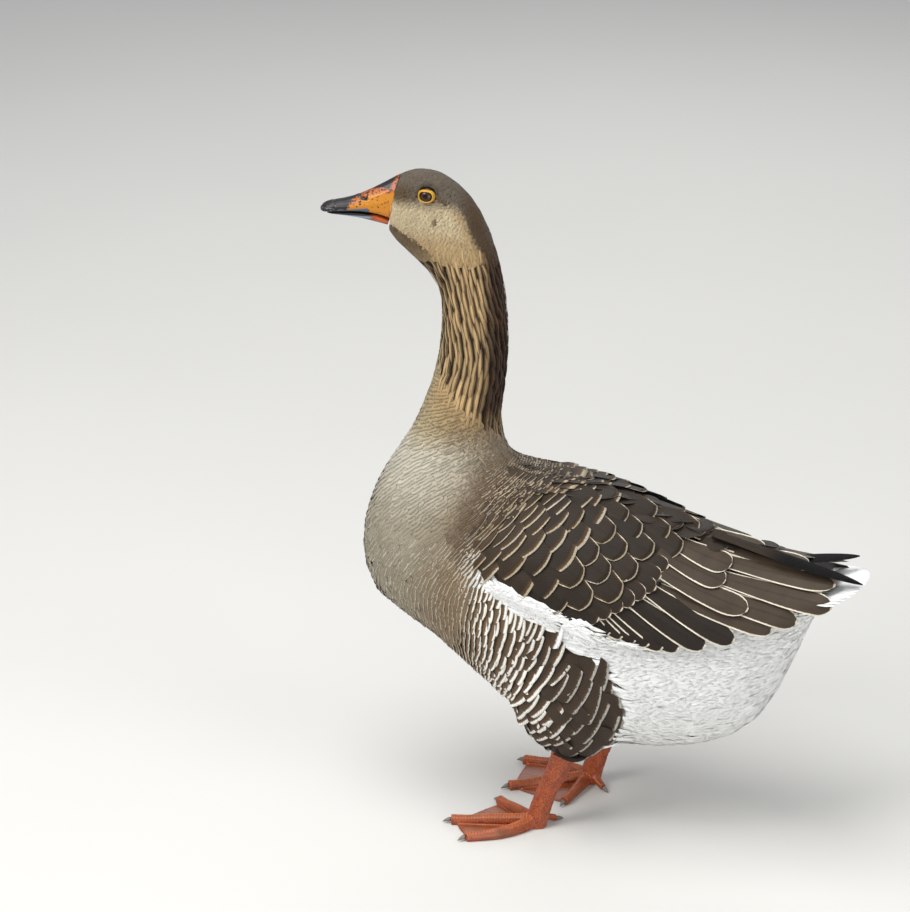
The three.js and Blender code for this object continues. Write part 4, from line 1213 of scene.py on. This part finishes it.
for which, hand in HANDS.items():
    ends, gaps_here, backs = [], [], []
    for index, back in enumerate(COVERT_ROWS):
        last = len(COVERT_ROWS) - 1
        gap = COVERT_ROWS[min(index + 1, last)] - COVERT_ROWS[min(index, last - 1)]
        step = float(pitch(gap))
        s = 120.0
        while s < 312:
            station = float(row_station(back, s))
            if wing_foot(station) < s and station < wing_front(s):
                break
            s += 1
        s += step * (0.35 + 0.4 * (index % 2) + rng.uniform(-0.04, 0.04))
        while s < 312:
            station = float(row_station(back, s)) + rng.normal(0, 0.03) * gap
            low = wing_foot(station) - 1
            band = np.interp(station, GREATER[::-1, 0], GREATER[::-1, 1])
            above_band = station > -40 or s > band + (6 if station > -119 else 0)
            within = low < s < wing_top(station) + 3 and -165 < station < wing_front(s) - 2
            if within and above_band:
                ends.append((station, s))
                gaps_here.append(gap)
                backs.append(back)
            s += step * rng.uniform(0.88, 1.12)
    ends, gap, backs = np.array(ends), np.array(gaps_here, float), np.array(backs, float)
    fall = row_slope(backs, ends[:, 1]) + rng.normal(0, 0.025, len(ends))
    way = unit(np.stack([-np.ones(len(ends)), -fall], 1))
    lengths = (2.1 * gap + 9) * rng.uniform(0.97, 1.06, len(ends))
    roots = ends - way * lengths[:, None]
    v = np.linspace(0, 1, 9)
    rise = -5.0 * (1 - v) ** 1.4 + 0.7 * v ** 3
    share = ramp(ends[:, 0], 60, -20)
    tone = mixed(mixed(grey, mid, ramp(ends[:, 0], 75, 40)), dark, share)
    tone = tone * np.exp(rng.normal(0, 0.12, len(ends)))[:, None]
    rim = mixed(pale_rim, cold_rim, rng.uniform(0, 1, len(ends)))
    rim = with_alpha(rim, rng.uniform(0.65, 1.0, len(ends)) * (1 - 0.3 * ramp(backs, -60, -90)))
    half = 0.57 * pitch(gap) * np.hypot(1, fall) * rng.uniform(0.97, 1.06, len(ends))
    half = half * (1 - 0.5 * ramp(ends[:, 1], 262, 290))
    front, inner_rows = backs < -40, backs < 20
    for name, rows, finish, outline, thick, camber, arc in (
        ("lesser_coverts_", front, lesser, blunt(9, 0.7, 0.8, 0.92), 0.3, 0.4, 0.16),
        ("median_coverts_", inner_rows & ~front, lesser, blunt(9, 0.65, 0.7, 0.88), 0.35, 0.6, 0.22),
        ("wing_coverts_", ~inner_rows, cover, blunt(9, 0.6, 0.6, 0.74), 0.4, 0.8, 0.32),
    ):
        wing_vanes(name + which, hand, roots[rows], ends[rows], half[rows], outline, nine,
                   layers=rng.normal(0, 0.1, rows.sum()), rise=rise, tone=with_alpha(tone[rows], 1.0),
                   rim=rim[rows], finish=finish, thick=thick, camber=camber,
                   skew=0.05 * hand, arc=arc)

    # White flank feathers close over the folded wing's lower front edge.
    count = 300
    station = rng.uniform(-64, 54, count)
    share = rng.uniform(0, 1, count)
    ends = np.stack([station, wing_foot(station) + 3 - share * (6 + 11 * ramp(station, 60, 10))], 1)
    way = unit(np.stack([-np.ones(count), rng.uniform(-0.42, -0.2, count)], 1))
    roots = ends - way * (rng.uniform(16, 30, count) * (1 - 0.4 * ramp(station, 20, 54)))[:, None]
    v = np.linspace(0, 1, 8)
    snowy = with_alpha(np.broadcast_to(shades("#f8f8f5")[0], (count, 3)), 1.0)
    wing_vanes("wing_band_feathers_" + which, hand, roots, ends, rng.uniform(1.2, 2.2, count),
               rounded(8, 0.4, 0.4, 1.0), three, layers=rng.uniform(0, 0.5, count),
               rise=-2.6 * (1 - v) ** 1.5 + 1.1 * v, tone=snowy, rim=snowy, finish=snow,
               thick=0.12, camber=0.15)

    # Greater coverts: one even row of longer feathers over the bases of the secondaries.
    run = np.concatenate([[0], np.cumsum(np.linalg.norm(np.diff(GREATER, axis=0), axis=1))])
    at = np.arange(2, run[-1] + 1, 13.5)
    ends = np.stack([np.interp(at, run, GREATER[:, i]) for i in range(2)], 1)
    way = unit(np.stack([-np.ones(len(at)), np.full(len(at), -0.46) + 0.3 * ramp(at, 60, 130)], 1))
    lengths = 46 + rng.normal(0, 1.5, len(at))
    roots = ends - way * lengths[:, None]
    tone = np.broadcast_to(dark, (len(at), 3)) * np.exp(rng.normal(0, 0.06, len(at)))[:, None]
    v = np.linspace(0, 1, 12)
    rim = with_alpha(np.broadcast_to(cold_rim, tone.shape), 0.9)
    wing_vanes("wing_greater_coverts_" + which, hand, roots, ends, np.full(len(at), 9.6),
               rounded(12, 0.6, 0.72, 0.42), seven, layers=0.2 - 0.05 * np.arange(len(at)),
               rise=-4.5 * (1 - v) ** 1.2 - 0.6, tone=with_alpha(tone, 1.0), rim=rim, finish=cover,
               thick=0.5, camber=1.2, skew=0.06 * hand, cells=(0, len(at)))

    # Secondaries fan out below the greater coverts: tip, slope, length, half width and layer.
    long_vanes = []
    for tip, slope, length, half, layer in (
        ((-64, 135), 0.85, 50, 7.0, -6.6), ((-77, 133), 0.8, 56, 7.5, -6.3),
        ((-90, 131.5), 0.73, 64, 8.0, -6.0), ((-104, 130), 0.66, 74, 8.5, -5.7),
        ((-118, 129), 0.6, 84, 9.0, -5.4), ((-132, 128), 0.54, 92, 9.5, -5.1),
        ((-148, 129.5), 0.48, 100, 10.0, -4.8), ((-174, 137), 0.43, 108, 11.5, -4.2),
        ((-202, 148), 0.39, 116, 12.5, -3.5),
    ):
        way = np.array([1.0, slope]) / math.hypot(1, slope)
        long_vanes.append((tuple(np.array(tip) + way * length), tip, half, layer, 3))
    # Tertials and the longest scapulars: root, tip, half width, layer and bow.
    long_vanes += [
        ((-118, 186), (-238, 166), 11.5, -4.6, 2),
        ((-140, 196), (-261, 179), 12.5, -3.9, 2),
        ((-104, 210), (-212, 180), 13.5, -0.9, 3),
        ((-160, 213), (-294, 199), 13.5, -3.1, 2),
        ((-150, 232), (-293, 222), 12.0, -2.2, 1),
        ((-112, 226), (-184, 205), 13.5, -0.4, 2),
        ((-118, 242), (-186, 224), 14.0, 0.2, 2),
        ((-150, 250), (-262, 241), 12.5, -1.6, 1),
        ((-118, 262), (-214, 250), 13.0, -0.6, 1),
    ]
    roots = np.array([v[0] for v in long_vanes], float)
    ends = np.array([v[1] for v in long_vanes], float)
    half = np.array([v[2] for v in long_vanes], float)
    layers = np.array([v[3] for v in long_vanes], float)
    bow = np.array([v[4] for v in long_vanes], float)
    inner_ones = np.arange(len(roots)) > 8
    tone = mixed(0.75 * dark, shades("#3e3327")[0], inner_ones)
    tone = tone * np.exp(rng.normal(0, 0.07, len(roots)))[:, None]
    v = np.linspace(0, 1, 22)
    rim = with_alpha(np.broadcast_to(cold_rim, tone.shape), np.clip(11 / half, 0.8, 1.6))
    wing_vanes("wing_quills_" + which, hand, roots, ends, half, rounded(22, 0.6, 0.8, 0.5), nine,
               layers=layers, rise=-2.0 * (1 - v) ** 2, tone=with_alpha(tone, 1.0), rim=rim,
               finish=quill_vane, bow=-bow, thick=0.6, camber=0.8,
               skew=-0.13 * hand, cells=(0, len(roots)), slump=0.35)

# ---- Primaries -------------------------------------------------------------------------------
# The longest wing quills, four to a side, cross over the rump with the right ones on top. They are
# stiff and narrow, grey-brown where the tertials meet them and nearly black at the tips.
jet = plumage("primary_feather_keratin", barb=0.02, fringe=0.08, sheen=0.0, rough=0.6, shaft_fold_shade=0.3,
              aspect=14.0)
jet.node_tree.nodes["Principled BSDF"].inputs["Specular IOR Level"].default_value = 0.08
for which in HANDS:
    node = "primaries_" + which
    p = goose(read(frame["nodes"][node].data.vertices, "co", 3))
    front = p[p[:, 0] > p[:, 0].max() - 12].mean(0)
    rear = p[p[:, 0] < p[:, 0].min() + 6].mean(0)
    fans = [(0, 0, 0), (4, -9, 1.6), (-4, -20, -1.6), (-7, -34, -3.2)]
    rings = 20
    v = np.linspace(0, 1, rings)[:, None]
    spines, sides = [], []
    for swing, back, layer in fans:
        line = front * (1 - v) + rear * v
        way = unit(rear - front)
        beside = unit(np.cross(way, (0, 0, 1)))
        line = line + beside * swing * v + way * back * v + np.array([0, 0, 1]) * (layer * 0.6 - 0.4)
        spines.append(line)
        sides.append(np.broadcast_to(beside, line.shape))
    spines, sides = np.array(spines), np.array(sides)
    up = unit(np.cross(sides, unit(rear - front)))
    brown, black = shades("#32281e", "#040303")
    darker = np.broadcast_to(ramp(v[:, 0], 0.3, 0.55), (len(fans), rings))
    tone = mixed(brown, black, darker)
    rim = np.broadcast_to(linear("#1a1612"), (len(fans), 3))
    place = np.arange(len(fans))
    at = (np.stack([place % 2, place // 2], 1) + 0.5) / 2
    mesh = vane_mesh("wing_" + node, spines, sides, up, np.full(len(fans), 11.0),
                     rounded(rings, 0.7, 0.55, 0.55), seven, thick=0.7, camber=0.9,
                     tone=with_alpha(tone, 1.0), rim=with_alpha(rim, 0.5), patch_at=at, patch=0.45)
    thing = scene_object("wing_" + node, mesh, jet)
    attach(thing, "root")
    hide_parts(node)

# ---- Tail ------------------------------------------------------------------------------------
# A low fan of eighteen stiff quills, rooted in the rump and laid over one another from the sides
# to the middle: grey-brown with broad white tips, whitest at the sides.

# The quills lie on a smooth sheet fitted to the tail solid.
tail_nodes = merged("tail_copy", ["tail"])
p = goose(read(tail_nodes.data.vertices, "co", 3))
bpy.data.objects.remove(tail_nodes)
fit = np.linalg.lstsq(np.stack([np.ones(len(p)), p[:, 0], p[:, 1] ** 2], 1), p[:, 2], rcond=None)[0]
TAIL_QUILLS = 18
FAN_ROOT = np.array([-222.0, 0.0])
turns = np.radians(np.linspace(-34, 34, TAIL_QUILLS))
reach = 99 - 9 * np.abs(turns / turns[-1]) ** 2
rings = 18
v = np.linspace(0, 1, rings)[None, :, None]
way = np.stack([-np.cos(turns), np.sin(turns)], 1)
line = FAN_ROOT + way[:, None] * (0.12 + 0.88 * v) * reach[:, None, None]
height = fit[0] + fit[1] * line[..., 0] + fit[2] * line[..., 1] ** 2
order = np.abs(np.arange(TAIL_QUILLS) - (TAIL_QUILLS - 1) / 2)
height = height + (2.0 - 0.42 * order)[:, None]
spine = np.concatenate([line, height[..., None]], 2)
tangent = unit(np.gradient(spine, axis=1))
across = unit(np.cross(tangent, np.broadcast_to((0.0, 0, 1), spine.shape)))
up = np.cross(across, tangent)
inner_grey, tip_white = shades("#5b5147", "#f0f0ee")
turned_white = np.clip(ramp(v[..., 0], 0.62, 0.72) + (order[:, None] > 7), 0, 1)
tone = mixed(inner_grey, tip_white, turned_white)
rim = np.broadcast_to(tip_white, (TAIL_QUILLS, 3))
fan_vane = plumage("tail_feather_keratin", barb=0.03, fringe=0.14, sheen=0.05, rough=0.55,
                   shaft_fold_shade=0.2, aspect=8.0)
place = np.arange(TAIL_QUILLS)
at = (np.stack([place % 5, place // 5], 1) + 0.5) / 5
mesh = vane_mesh("tail_quills", spine, across, up, np.full(TAIL_QUILLS, 9.5),
                 rounded(rings, 0.5, 0.8, 0.45), nine, thick=0.6, camber=1.0,
                 tone=with_alpha(tone, 1.0), rim=with_alpha(rim, 0.7), patch_at=at, patch=0.18)
thing = scene_object("tail_quills", mesh, fan_vane)
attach(thing, "root")

# ---- Bill ------------------------------------------------------------------------------------
# Horn under a thin tough skin: yellow-orange at the base, a black ridge and nail, a blue-grey
# cutting edge, and ragged dark mottles. The two halves meet at a dark gape.


def shaped(mesh, points, name, *materials):
    """An object of the mesh with its points moved, smooth all over."""
    mesh.vertices.foreach_set("co", world(points).ravel())
    mesh.polygons.foreach_set("use_smooth", np.ones(len(mesh.polygons), bool))
    mesh.update()
    return scene_object(name, mesh, *materials)


# Horn: smooth and satin, lit a little from under the skin, with ragged dark blots.
horn, tree, surface = material("bill_horn")
tone = add(tree, "ShaderNodeAttribute", attribute_name="tone")
place = add(tree, "ShaderNodeTexCoord").outputs["Object"]
blots = add(tree, "ShaderNodeTexNoise", [
    ("Vector", place), ("Scale", 330.0), ("Detail", 4.0), ("Roughness", 0.55)])
cut = add(tree, "ShaderNodeMath", [(0, blots.outputs["Fac"]), (1, tone.outputs["Alpha"])], operation="ADD")
dark_share = add(tree, "ShaderNodeMapRange", [
    ("Value", cut), ("From Min", 0.97), ("From Max", 1.05)])
mottled = add(tree, "ShaderNodeMix", [
    ("Factor", dark_share), ("A", tone.outputs["Color"]), ("B", (*linear("#1d1713"), 1)),
], data_type="RGBA")
fine_grain = add(tree, "ShaderNodeTexNoise", [("Vector", place), ("Scale", 900.0), ("Detail", 2.0)])
vary = add(tree, "ShaderNodeMath", [(0, fine_grain.outputs["Fac"]), (1, 0.3), (2, 0.85)],
           operation="MULTIPLY_ADD")
varied = add(tree, "ShaderNodeMix", [
    ("Factor", 1.0), ("A", mottled.outputs["Result"]), ("B", vary),
], data_type="RGBA", blend_type="MULTIPLY")
tree.links.new(varied.outputs["Result"], surface.inputs["Base Color"])
bump = add(tree, "ShaderNodeBump", [
    ("Height", fine_grain.outputs["Fac"]), ("Strength", 0.3), ("Distance", 0.0002)])
tree.links.new(bump.outputs["Normal"], surface.inputs["Normal"])
surface.inputs["Roughness"].default_value = 0.42
surface.inputs["Specular IOR Level"].default_value = 0.35
surface.inputs["Coat Weight"].default_value = 0.16
surface.inputs["Coat Roughness"].default_value = 0.2

for node in ("bill_upper", "bill_lower"):
    mesh = moulded(merged(node + "_copy", [node]), 0.0007, 4)
    half_bill = Surface(mesh)
    p, n = half_bill.points.copy(), half_bill.normals
    along, side, up = head_place(p)
    side = np.abs(side)
    border = table(up, [(653, 82.1), (658, 82.5), (666, 81), (672, 76.5), (677, 75.3), (686, 75.5),
                        (690, 73.5), (698, 67.7), (704, 64)])
    yellow, orange, black, blue, lamella = shades("#ae6e12", "#a34a17", "#120f0d", "#4a525c", "#7c8894")
    if node == "bill_upper":
        patch_top = table(along, [(70, 695), (74, 694), (87, 686.5), (94, 687), (107, 683), (125, 673),
                                  (129, 666), (131, 655)])
        patch_low = table(along, [(80, 650), (92, 655), (106.5, 661), (107.5, 666.5), (129, 664), (132, 664)])
        tone = mixed(black, yellow, ramp(patch_top - up, -0.6, 0.8))
        tone = mixed(tone, orange, ramp(patch_top - up, 7.0, 1.0) * ramp(patch_top - up, -0.6, 0.6) * 0.85)
        reach_out = 4.5 + 6.5 * ramp(up, 680, 692)
        tone = mixed(tone, orange, ramp(along - border - reach_out, 1.5, -1.5) * 0.9)
        tone = mixed(tone, blue, ramp(patch_low - up, -0.4, 0.8) * ramp(along, 95, 106))
        tone = mixed(tone, black, ramp(along, 130, 134) * ramp(up, 664.5, 667))
        speckle = 0.13 + 0.13 * ramp(patch_top - up, 7, 2) + 0.05 * ramp(along, 84, 90)
        nostril = ((along - 112.5) / 4.6) ** 2 + ((up - 675.5 - 0.1 * (along - 112.5)) / 1.7) ** 2
        hole = np.exp(-nostril) * (side > 3)
        p -= n * (2.2 * hole)[:, None]
        p += n * (0.45 * np.exp(-(np.sqrt(nostril) - 1.55) ** 2 * 7) * (side > 3))[:, None]
        # The nostril is painted black: painted shade inside its hole.
        tone = mixed(tone, black, ramp(nostril, 1.15, 0.6) * (side > 3))
        groove = np.exp(-((along - 143 - 0.35 * (up - 668)) / 0.8) ** 2) * (up > 661)
        p -= n * (0.35 * groove)[:, None]
        p -= n * (0.3 * np.exp(-((up - patch_low - 0.3) / 0.7) ** 2) * ramp(along, 104, 108))[:, None]
    else:
        tone = mixed(black, lamella, ramp(np.abs(up - 655.5), 1.9, 1.0) * ramp(along, 100, 108))
        tone = mixed(tone, orange, ramp(along, 108, 98) * ramp(up, 649, 652))
        speckle = np.full(len(p), 0.1)
        comb = np.maximum(0, np.sin(along * math.tau / 1.9)) * np.exp(-((up - 655.8) / 1.6) ** 2)
        p += n * (0.28 * comb * ramp(along, 98, 104))[:, None]
    tuck = 0.9 * ramp(along - border, 7, 0)
    p[:, 0] -= tuck * math.cos(HEAD_TURN)
    p[:, 1] -= tuck * math.sin(HEAD_TURN)
    held = mesh.attributes.new("tone", "FLOAT_COLOR", "POINT")
    held.data.foreach_set("color", with_alpha(tone, speckle + 0.2).ravel())
    thing = shaped(mesh, p, node.replace("bill", "goose_bill"), horn)
    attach(thing, "root")
    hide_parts(node)

# ---- Eyes ------------------------------------------------------------------------------------
# Wet dark-brown eyeballs, set to their real depth, each in a bare yellow ring of lid skin that
# is spun round the eye and drawn to a slight almond.

# Clear cornea over a brown iris and black pupil: a wet, sharp gloss over near-black.
ball, tree, surface = material("eye_cornea")
gaze = add(tree, "ShaderNodeAttribute", attribute_name="gaze")
iris = add(tree, "ShaderNodeValToRGB", [("Fac", gaze.outputs["Fac"])])
stops = iris.color_ramp
stops.elements[0].position, stops.elements[0].color = 0.0, (*linear("#050403"), 1)
stops.elements[1].position, stops.elements[1].color = 1.0, (*linear("#1a0f08"), 1)
for at_share, colour in ((0.36, "#050403"), (0.42, "#301b0d"), (0.72, "#3f2410"), (0.82, "#1c110a")):
    stop = stops.elements.new(at_share)
    stop.color = (*linear(colour), 1)
tree.links.new(iris.outputs["Color"], surface.inputs["Base Color"])
surface.inputs["Roughness"].default_value = 0.25
surface.inputs["Specular IOR Level"].default_value = 0.2
surface.inputs["Coat Weight"].default_value = 0.45
surface.inputs["Coat Roughness"].default_value = 0.02
surface.inputs["Coat IOR"].default_value = 1.35

# Bare lid skin: yellow, finely beaded and half matt.
lid_skin, tree, surface = material("eyelid_bare_skin")
place = add(tree, "ShaderNodeTexCoord").outputs["Object"]
lumps = add(tree, "ShaderNodeTexVoronoi", [("Vector", place), ("Scale", 1100.0)])
lid_tone = add(tree, "ShaderNodeMix", [
    ("Factor", lumps.outputs["Distance"]), ("A", (*linear("#cf9d2a"), 1)), ("B", (*linear("#9c7014"), 1)),
], data_type="RGBA")
tree.links.new(lid_tone.outputs["Result"], surface.inputs["Base Color"])
bump = add(tree, "ShaderNodeBump", [
    ("Height", lumps.outputs["Distance"]), ("Strength", 0.5), ("Distance", 0.0003)])
tree.links.new(bump.outputs["Normal"], surface.inputs["Normal"])
surface.inputs["Roughness"].default_value = 0.45

for which, hand in HANDS.items():
    low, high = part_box("eye_" + which)
    centre = (low + high) / 2
    radius = (high - low).x / 2
    out_of_head = hand * np.array([-math.sin(HEAD_TURN), math.cos(HEAD_TURN), 0]) + (0.2, 0, 0.06)
    turn_out = Vector(world(out_of_head)) - Vector(world((0, 0, 0)))
    axis = turn_out.normalized()
    upward = Vector((0, 0, 1))
    forward = upward.cross(axis).normalized()
    upward = axis.cross(forward)
    shape = bmesh.new()
    bmesh.ops.create_uvsphere(shape, u_segments=48, v_segments=32, radius=radius * 0.94)
    turn_to = axis.to_track_quat("Z", "Y").to_matrix()
    bmesh.ops.rotate(shape, verts=shape.verts, cent=(0, 0, 0), matrix=turn_to)
    mesh = bpy.data.meshes.new("goose_eye_" + which)
    angles_out = [v.co.normalized().dot(axis) for v in shape.verts]
    bmesh.ops.translate(shape, verts=shape.verts, vec=centre)
    shape.to_mesh(mesh)
    shape.free()
    held = mesh.attributes.new("gaze", "FLOAT", "POINT")
    from_axis = np.degrees(np.arccos(np.clip(angles_out, -1, 1)))
    held.data.foreach_set("value", np.clip(from_axis / 42, 0, 1))
    mesh.polygons.foreach_set("use_smooth", np.ones(len(mesh.polygons), bool))
    thing = scene_object("goose_eye_" + which, mesh, ball)
    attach(thing, "root")
    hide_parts("eye_" + which)

    # The lid ring: a small rounded section spun round the eye, then drawn to an almond.
    shape = bmesh.new()
    section = [(0.7, 0.62), (0.7, 0.73), (0.74, 0.79), (0.79, 0.79), (0.85, 0.72), (0.95, 0.52),
               (0.92, 0.3), (0.7, 0.45)]
    loop = [shape.verts.new((radius * a, 0, radius * b)) for a, b in section]
    edges = [shape.edges.new((loop[i], loop[(i + 1) % len(loop)])) for i in range(len(loop))]
    bmesh.ops.spin(shape, geom=loop + edges, cent=(0, 0, 0), axis=(0, 0, 1), dvec=(0, 0, 0),
                   angle=math.tau, steps=64, use_merge=True)
    bmesh.ops.remove_doubles(shape, verts=shape.verts, dist=1e-6)
    bmesh.ops.recalc_face_normals(shape, faces=shape.faces)
    for vert in shape.verts:
        a, b = vert.co.x, vert.co.y
        far = math.hypot(a, b) / radius
        turn_a = math.atan2(b, a)
        vert.co.y *= 1 - 0.24 * abs(math.sin(turn_a)) ** 1.3
        vert.co.z += 0.14 * radius * abs(math.sin(turn_a)) ** 1.5 * (1 if far < 0.9 else 0.4)
    place_lid = [centre + forward * v.co.x + upward * v.co.y + axis * v.co.z for v in shape.verts]
    for vert, spot in zip(shape.verts, place_lid):
        vert.co = spot
    bmesh.ops.recalc_face_normals(shape, faces=shape.faces)
    mesh = bpy.data.meshes.new("eyelid_ring_" + which)
    shape.to_mesh(mesh)
    shape.free()
    mesh.polygons.foreach_set("use_smooth", np.ones(len(mesh.polygons), bool))
    thing = scene_object("eyelid_ring_" + which, mesh, lid_skin)
    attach(thing, "root")

# ---- Legs and feet ---------------------------------------------------------------------------
# Bare orange leg skin: a net of small raised scales on the shank, cross scutes along the toes,
# and thin creased webs that let a little light through.

# Scaled skin: orange and half matt, varied in patches by grime, with a faint glow at thin edges; the darker
# grooves are painted shade, set in each point's tone below.
leather, tree, surface = material("scaled_leg_skin")
tone = add(tree, "ShaderNodeAttribute", attribute_name="tone")
place = add(tree, "ShaderNodeTexCoord").outputs["Object"]
grime = add(tree, "ShaderNodeTexNoise", [
    ("Vector", place), ("Scale", 90.0), ("Detail", 4.0), ("Roughness", 0.6)])
grain = add(tree, "ShaderNodeTexNoise", [("Vector", place), ("Scale", 1200.0), ("Detail", 2.0)])
vary = add(tree, "ShaderNodeMapRange", [
    ("Value", grime.outputs["Fac"]), ("From Min", 0.3), ("From Max", 0.7),
    ("To Min", 0.72), ("To Max", 1.12)])
leg_tone = add(tree, "ShaderNodeMix", [
    ("Factor", 1.0), ("A", tone.outputs["Color"]), ("B", vary),
], data_type="RGBA", blend_type="MULTIPLY")
tree.links.new(leg_tone.outputs["Result"], surface.inputs["Base Color"])
bump = add(tree, "ShaderNodeBump", [
    ("Height", grain.outputs["Fac"]), ("Strength", 0.35), ("Distance", 0.0002)])
tree.links.new(bump.outputs["Normal"], surface.inputs["Normal"])
surface.inputs["Roughness"].default_value = 0.42
surface.inputs["Subsurface Weight"].default_value = 0.12
surface.inputs["Subsurface Radius"].default_value = (0.004, 0.0015, 0.0006)
surface.inputs["Coat Weight"].default_value = 0.12
surface.inputs["Coat Roughness"].default_value = 0.35

# Claw keratin: dark grey horn, smooth from wear, with cloudy bands of growth.
nail, tree, surface = material("claw_keratin")
place = add(tree, "ShaderNodeTexCoord").outputs["Object"]
rings_of_growth = add(tree, "ShaderNodeTexNoise", [("Vector", place), ("Scale", 500.0), ("Detail", 3.0)])
claw_tone = add(tree, "ShaderNodeMix", [
    ("Factor", rings_of_growth.outputs["Fac"]),
    ("A", (*linear("#3d3733"), 1)), ("B", (*linear("#8b837a"), 1)),
], data_type="RGBA")
tree.links.new(claw_tone.outputs["Result"], surface.inputs["Base Color"])
surface.inputs["Roughness"].default_value = 0.35

for which, hand in HANDS.items():
    mesh = moulded(merged("leg_copy", ["shank_" + which, "foot_" + which]), 0.00085, 3)
    leg = Surface(mesh)
    p, n = leg.points.copy(), leg.normals
    low, high = (goose(c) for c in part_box("shank_" + which))
    ankle = np.array([(low[0] + high[0]) / 2, (low[1] + high[1]) / 2, 12.0])
    high_part = ramp(p[:, 2], 16, 26)
    # Cells of the scale net stand about 2.4 mm apart, on the shank and toes alike.
    cell = np.floor(p / 2.4 + rng.uniform(0, 1, 3)).astype(int)
    shuffled = rng.permutation(len(p))
    _, firsts = np.unique(cell[shuffled], axis=0, return_index=True)
    seeds = p[shuffled[firsts]]
    net = KDTree(len(seeds))
    for i, seed in enumerate(seeds.tolist()):
        net.insert(seed, i)
    net.balance()
    gap_to = np.array([[hit[2] for hit in net.find_n(q, 2)] for q in p.tolist()])
    bead = ramp(gap_to[:, 1] - gap_to[:, 0], 0.0, 1.1)
    nearest_toe = np.full(len(p), 99.0)
    along_toe = np.zeros(len(p))
    for toe in ("middle", "outer", "inner", "hind"):
        low, high = (goose(c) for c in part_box(f"claw_{which}_{toe}"))
        tip_at = (low + high) / 2
        line = tip_at[:2] - ankle[:2]
        length = np.linalg.norm(line)
        line = line / length
        t = (p[:, :2] - ankle[:2]) @ line
        off = np.linalg.norm(p[:, :2] - ankle[:2] - np.clip(t, 0, length)[:, None] * line, axis=1)
        along_toe = np.where(off < nearest_toe, t, along_toe)
        nearest_toe = np.minimum(nearest_toe, off)
    on_toe = ramp(nearest_toe, 7.0, 4.6) * (1 - high_part)
    web = ramp(nearest_toe, 5.5, 8.5) * ramp(p[:, 2], 14, 8)
    scute = np.abs(np.sin(along_toe * math.pi / 3.1)) ** 0.6
    above = ramp(n[:, 2], 0.2, 0.6)
    turn_web = np.arctan2(p[:, 1] - ankle[1], p[:, 0] - ankle[0])
    crease = np.sin(turn_web * 70 + 1.3 * np.sin(p[:, 0] * 0.35)) * 0.5 + 0.5
    p += n * (0.75 * bead * high_part + 0.55 * scute * on_toe * above
              + 0.3 * bead * on_toe * (1 - above) + 0.16 * (crease + bead) * web)[:, None]
    # The tone paints shade into the grooves between the raised scales and the toes' scutes, and a highlight
    # on the scale tops and scute crests.
    red, light, deep, amber = shades("#9c4119", "#b4602a", "#6e290e", "#82431b")
    tone = mixed(deep, red, ramp(bead, 0.0, 0.5))
    tone = mixed(tone, light, ramp(bead, 0.5, 1.0) * 0.55)
    tone = mixed(tone, mixed(deep, light, scute), on_toe * above * 0.7)
    tone = mixed(tone, mixed(amber, red, crease * 0.5), web)
    held = mesh.attributes.new("tone", "FLOAT_COLOR", "POINT")
    held.data.foreach_set("color", with_alpha(tone, 1.0).ravel())
    thing = shaped(mesh, p, "goose_leg_" + which, leather)
    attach(thing, "root")
    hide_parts("shank_" + which, "foot_" + which)

    for toe in ("middle", "outer", "inner", "hind"):
        node = f"claw_{which}_{toe}"
        claw = merged("goose_" + node, [node])
        finer = claw.modifiers.new("rounded", "SUBSURF")
        finer.levels = 2
        finer.render_levels = 2
        claw.data.polygons.foreach_set("use_smooth", np.ones(len(claw.data.polygons), bool))
        claw.data.materials.append(nail)
        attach(claw, "root")
        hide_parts(node)

# ---- Close -----------------------------------------------------------------------------------
# The whole model's box is worked out again, beside the CAD's box from the start.
low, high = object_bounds()
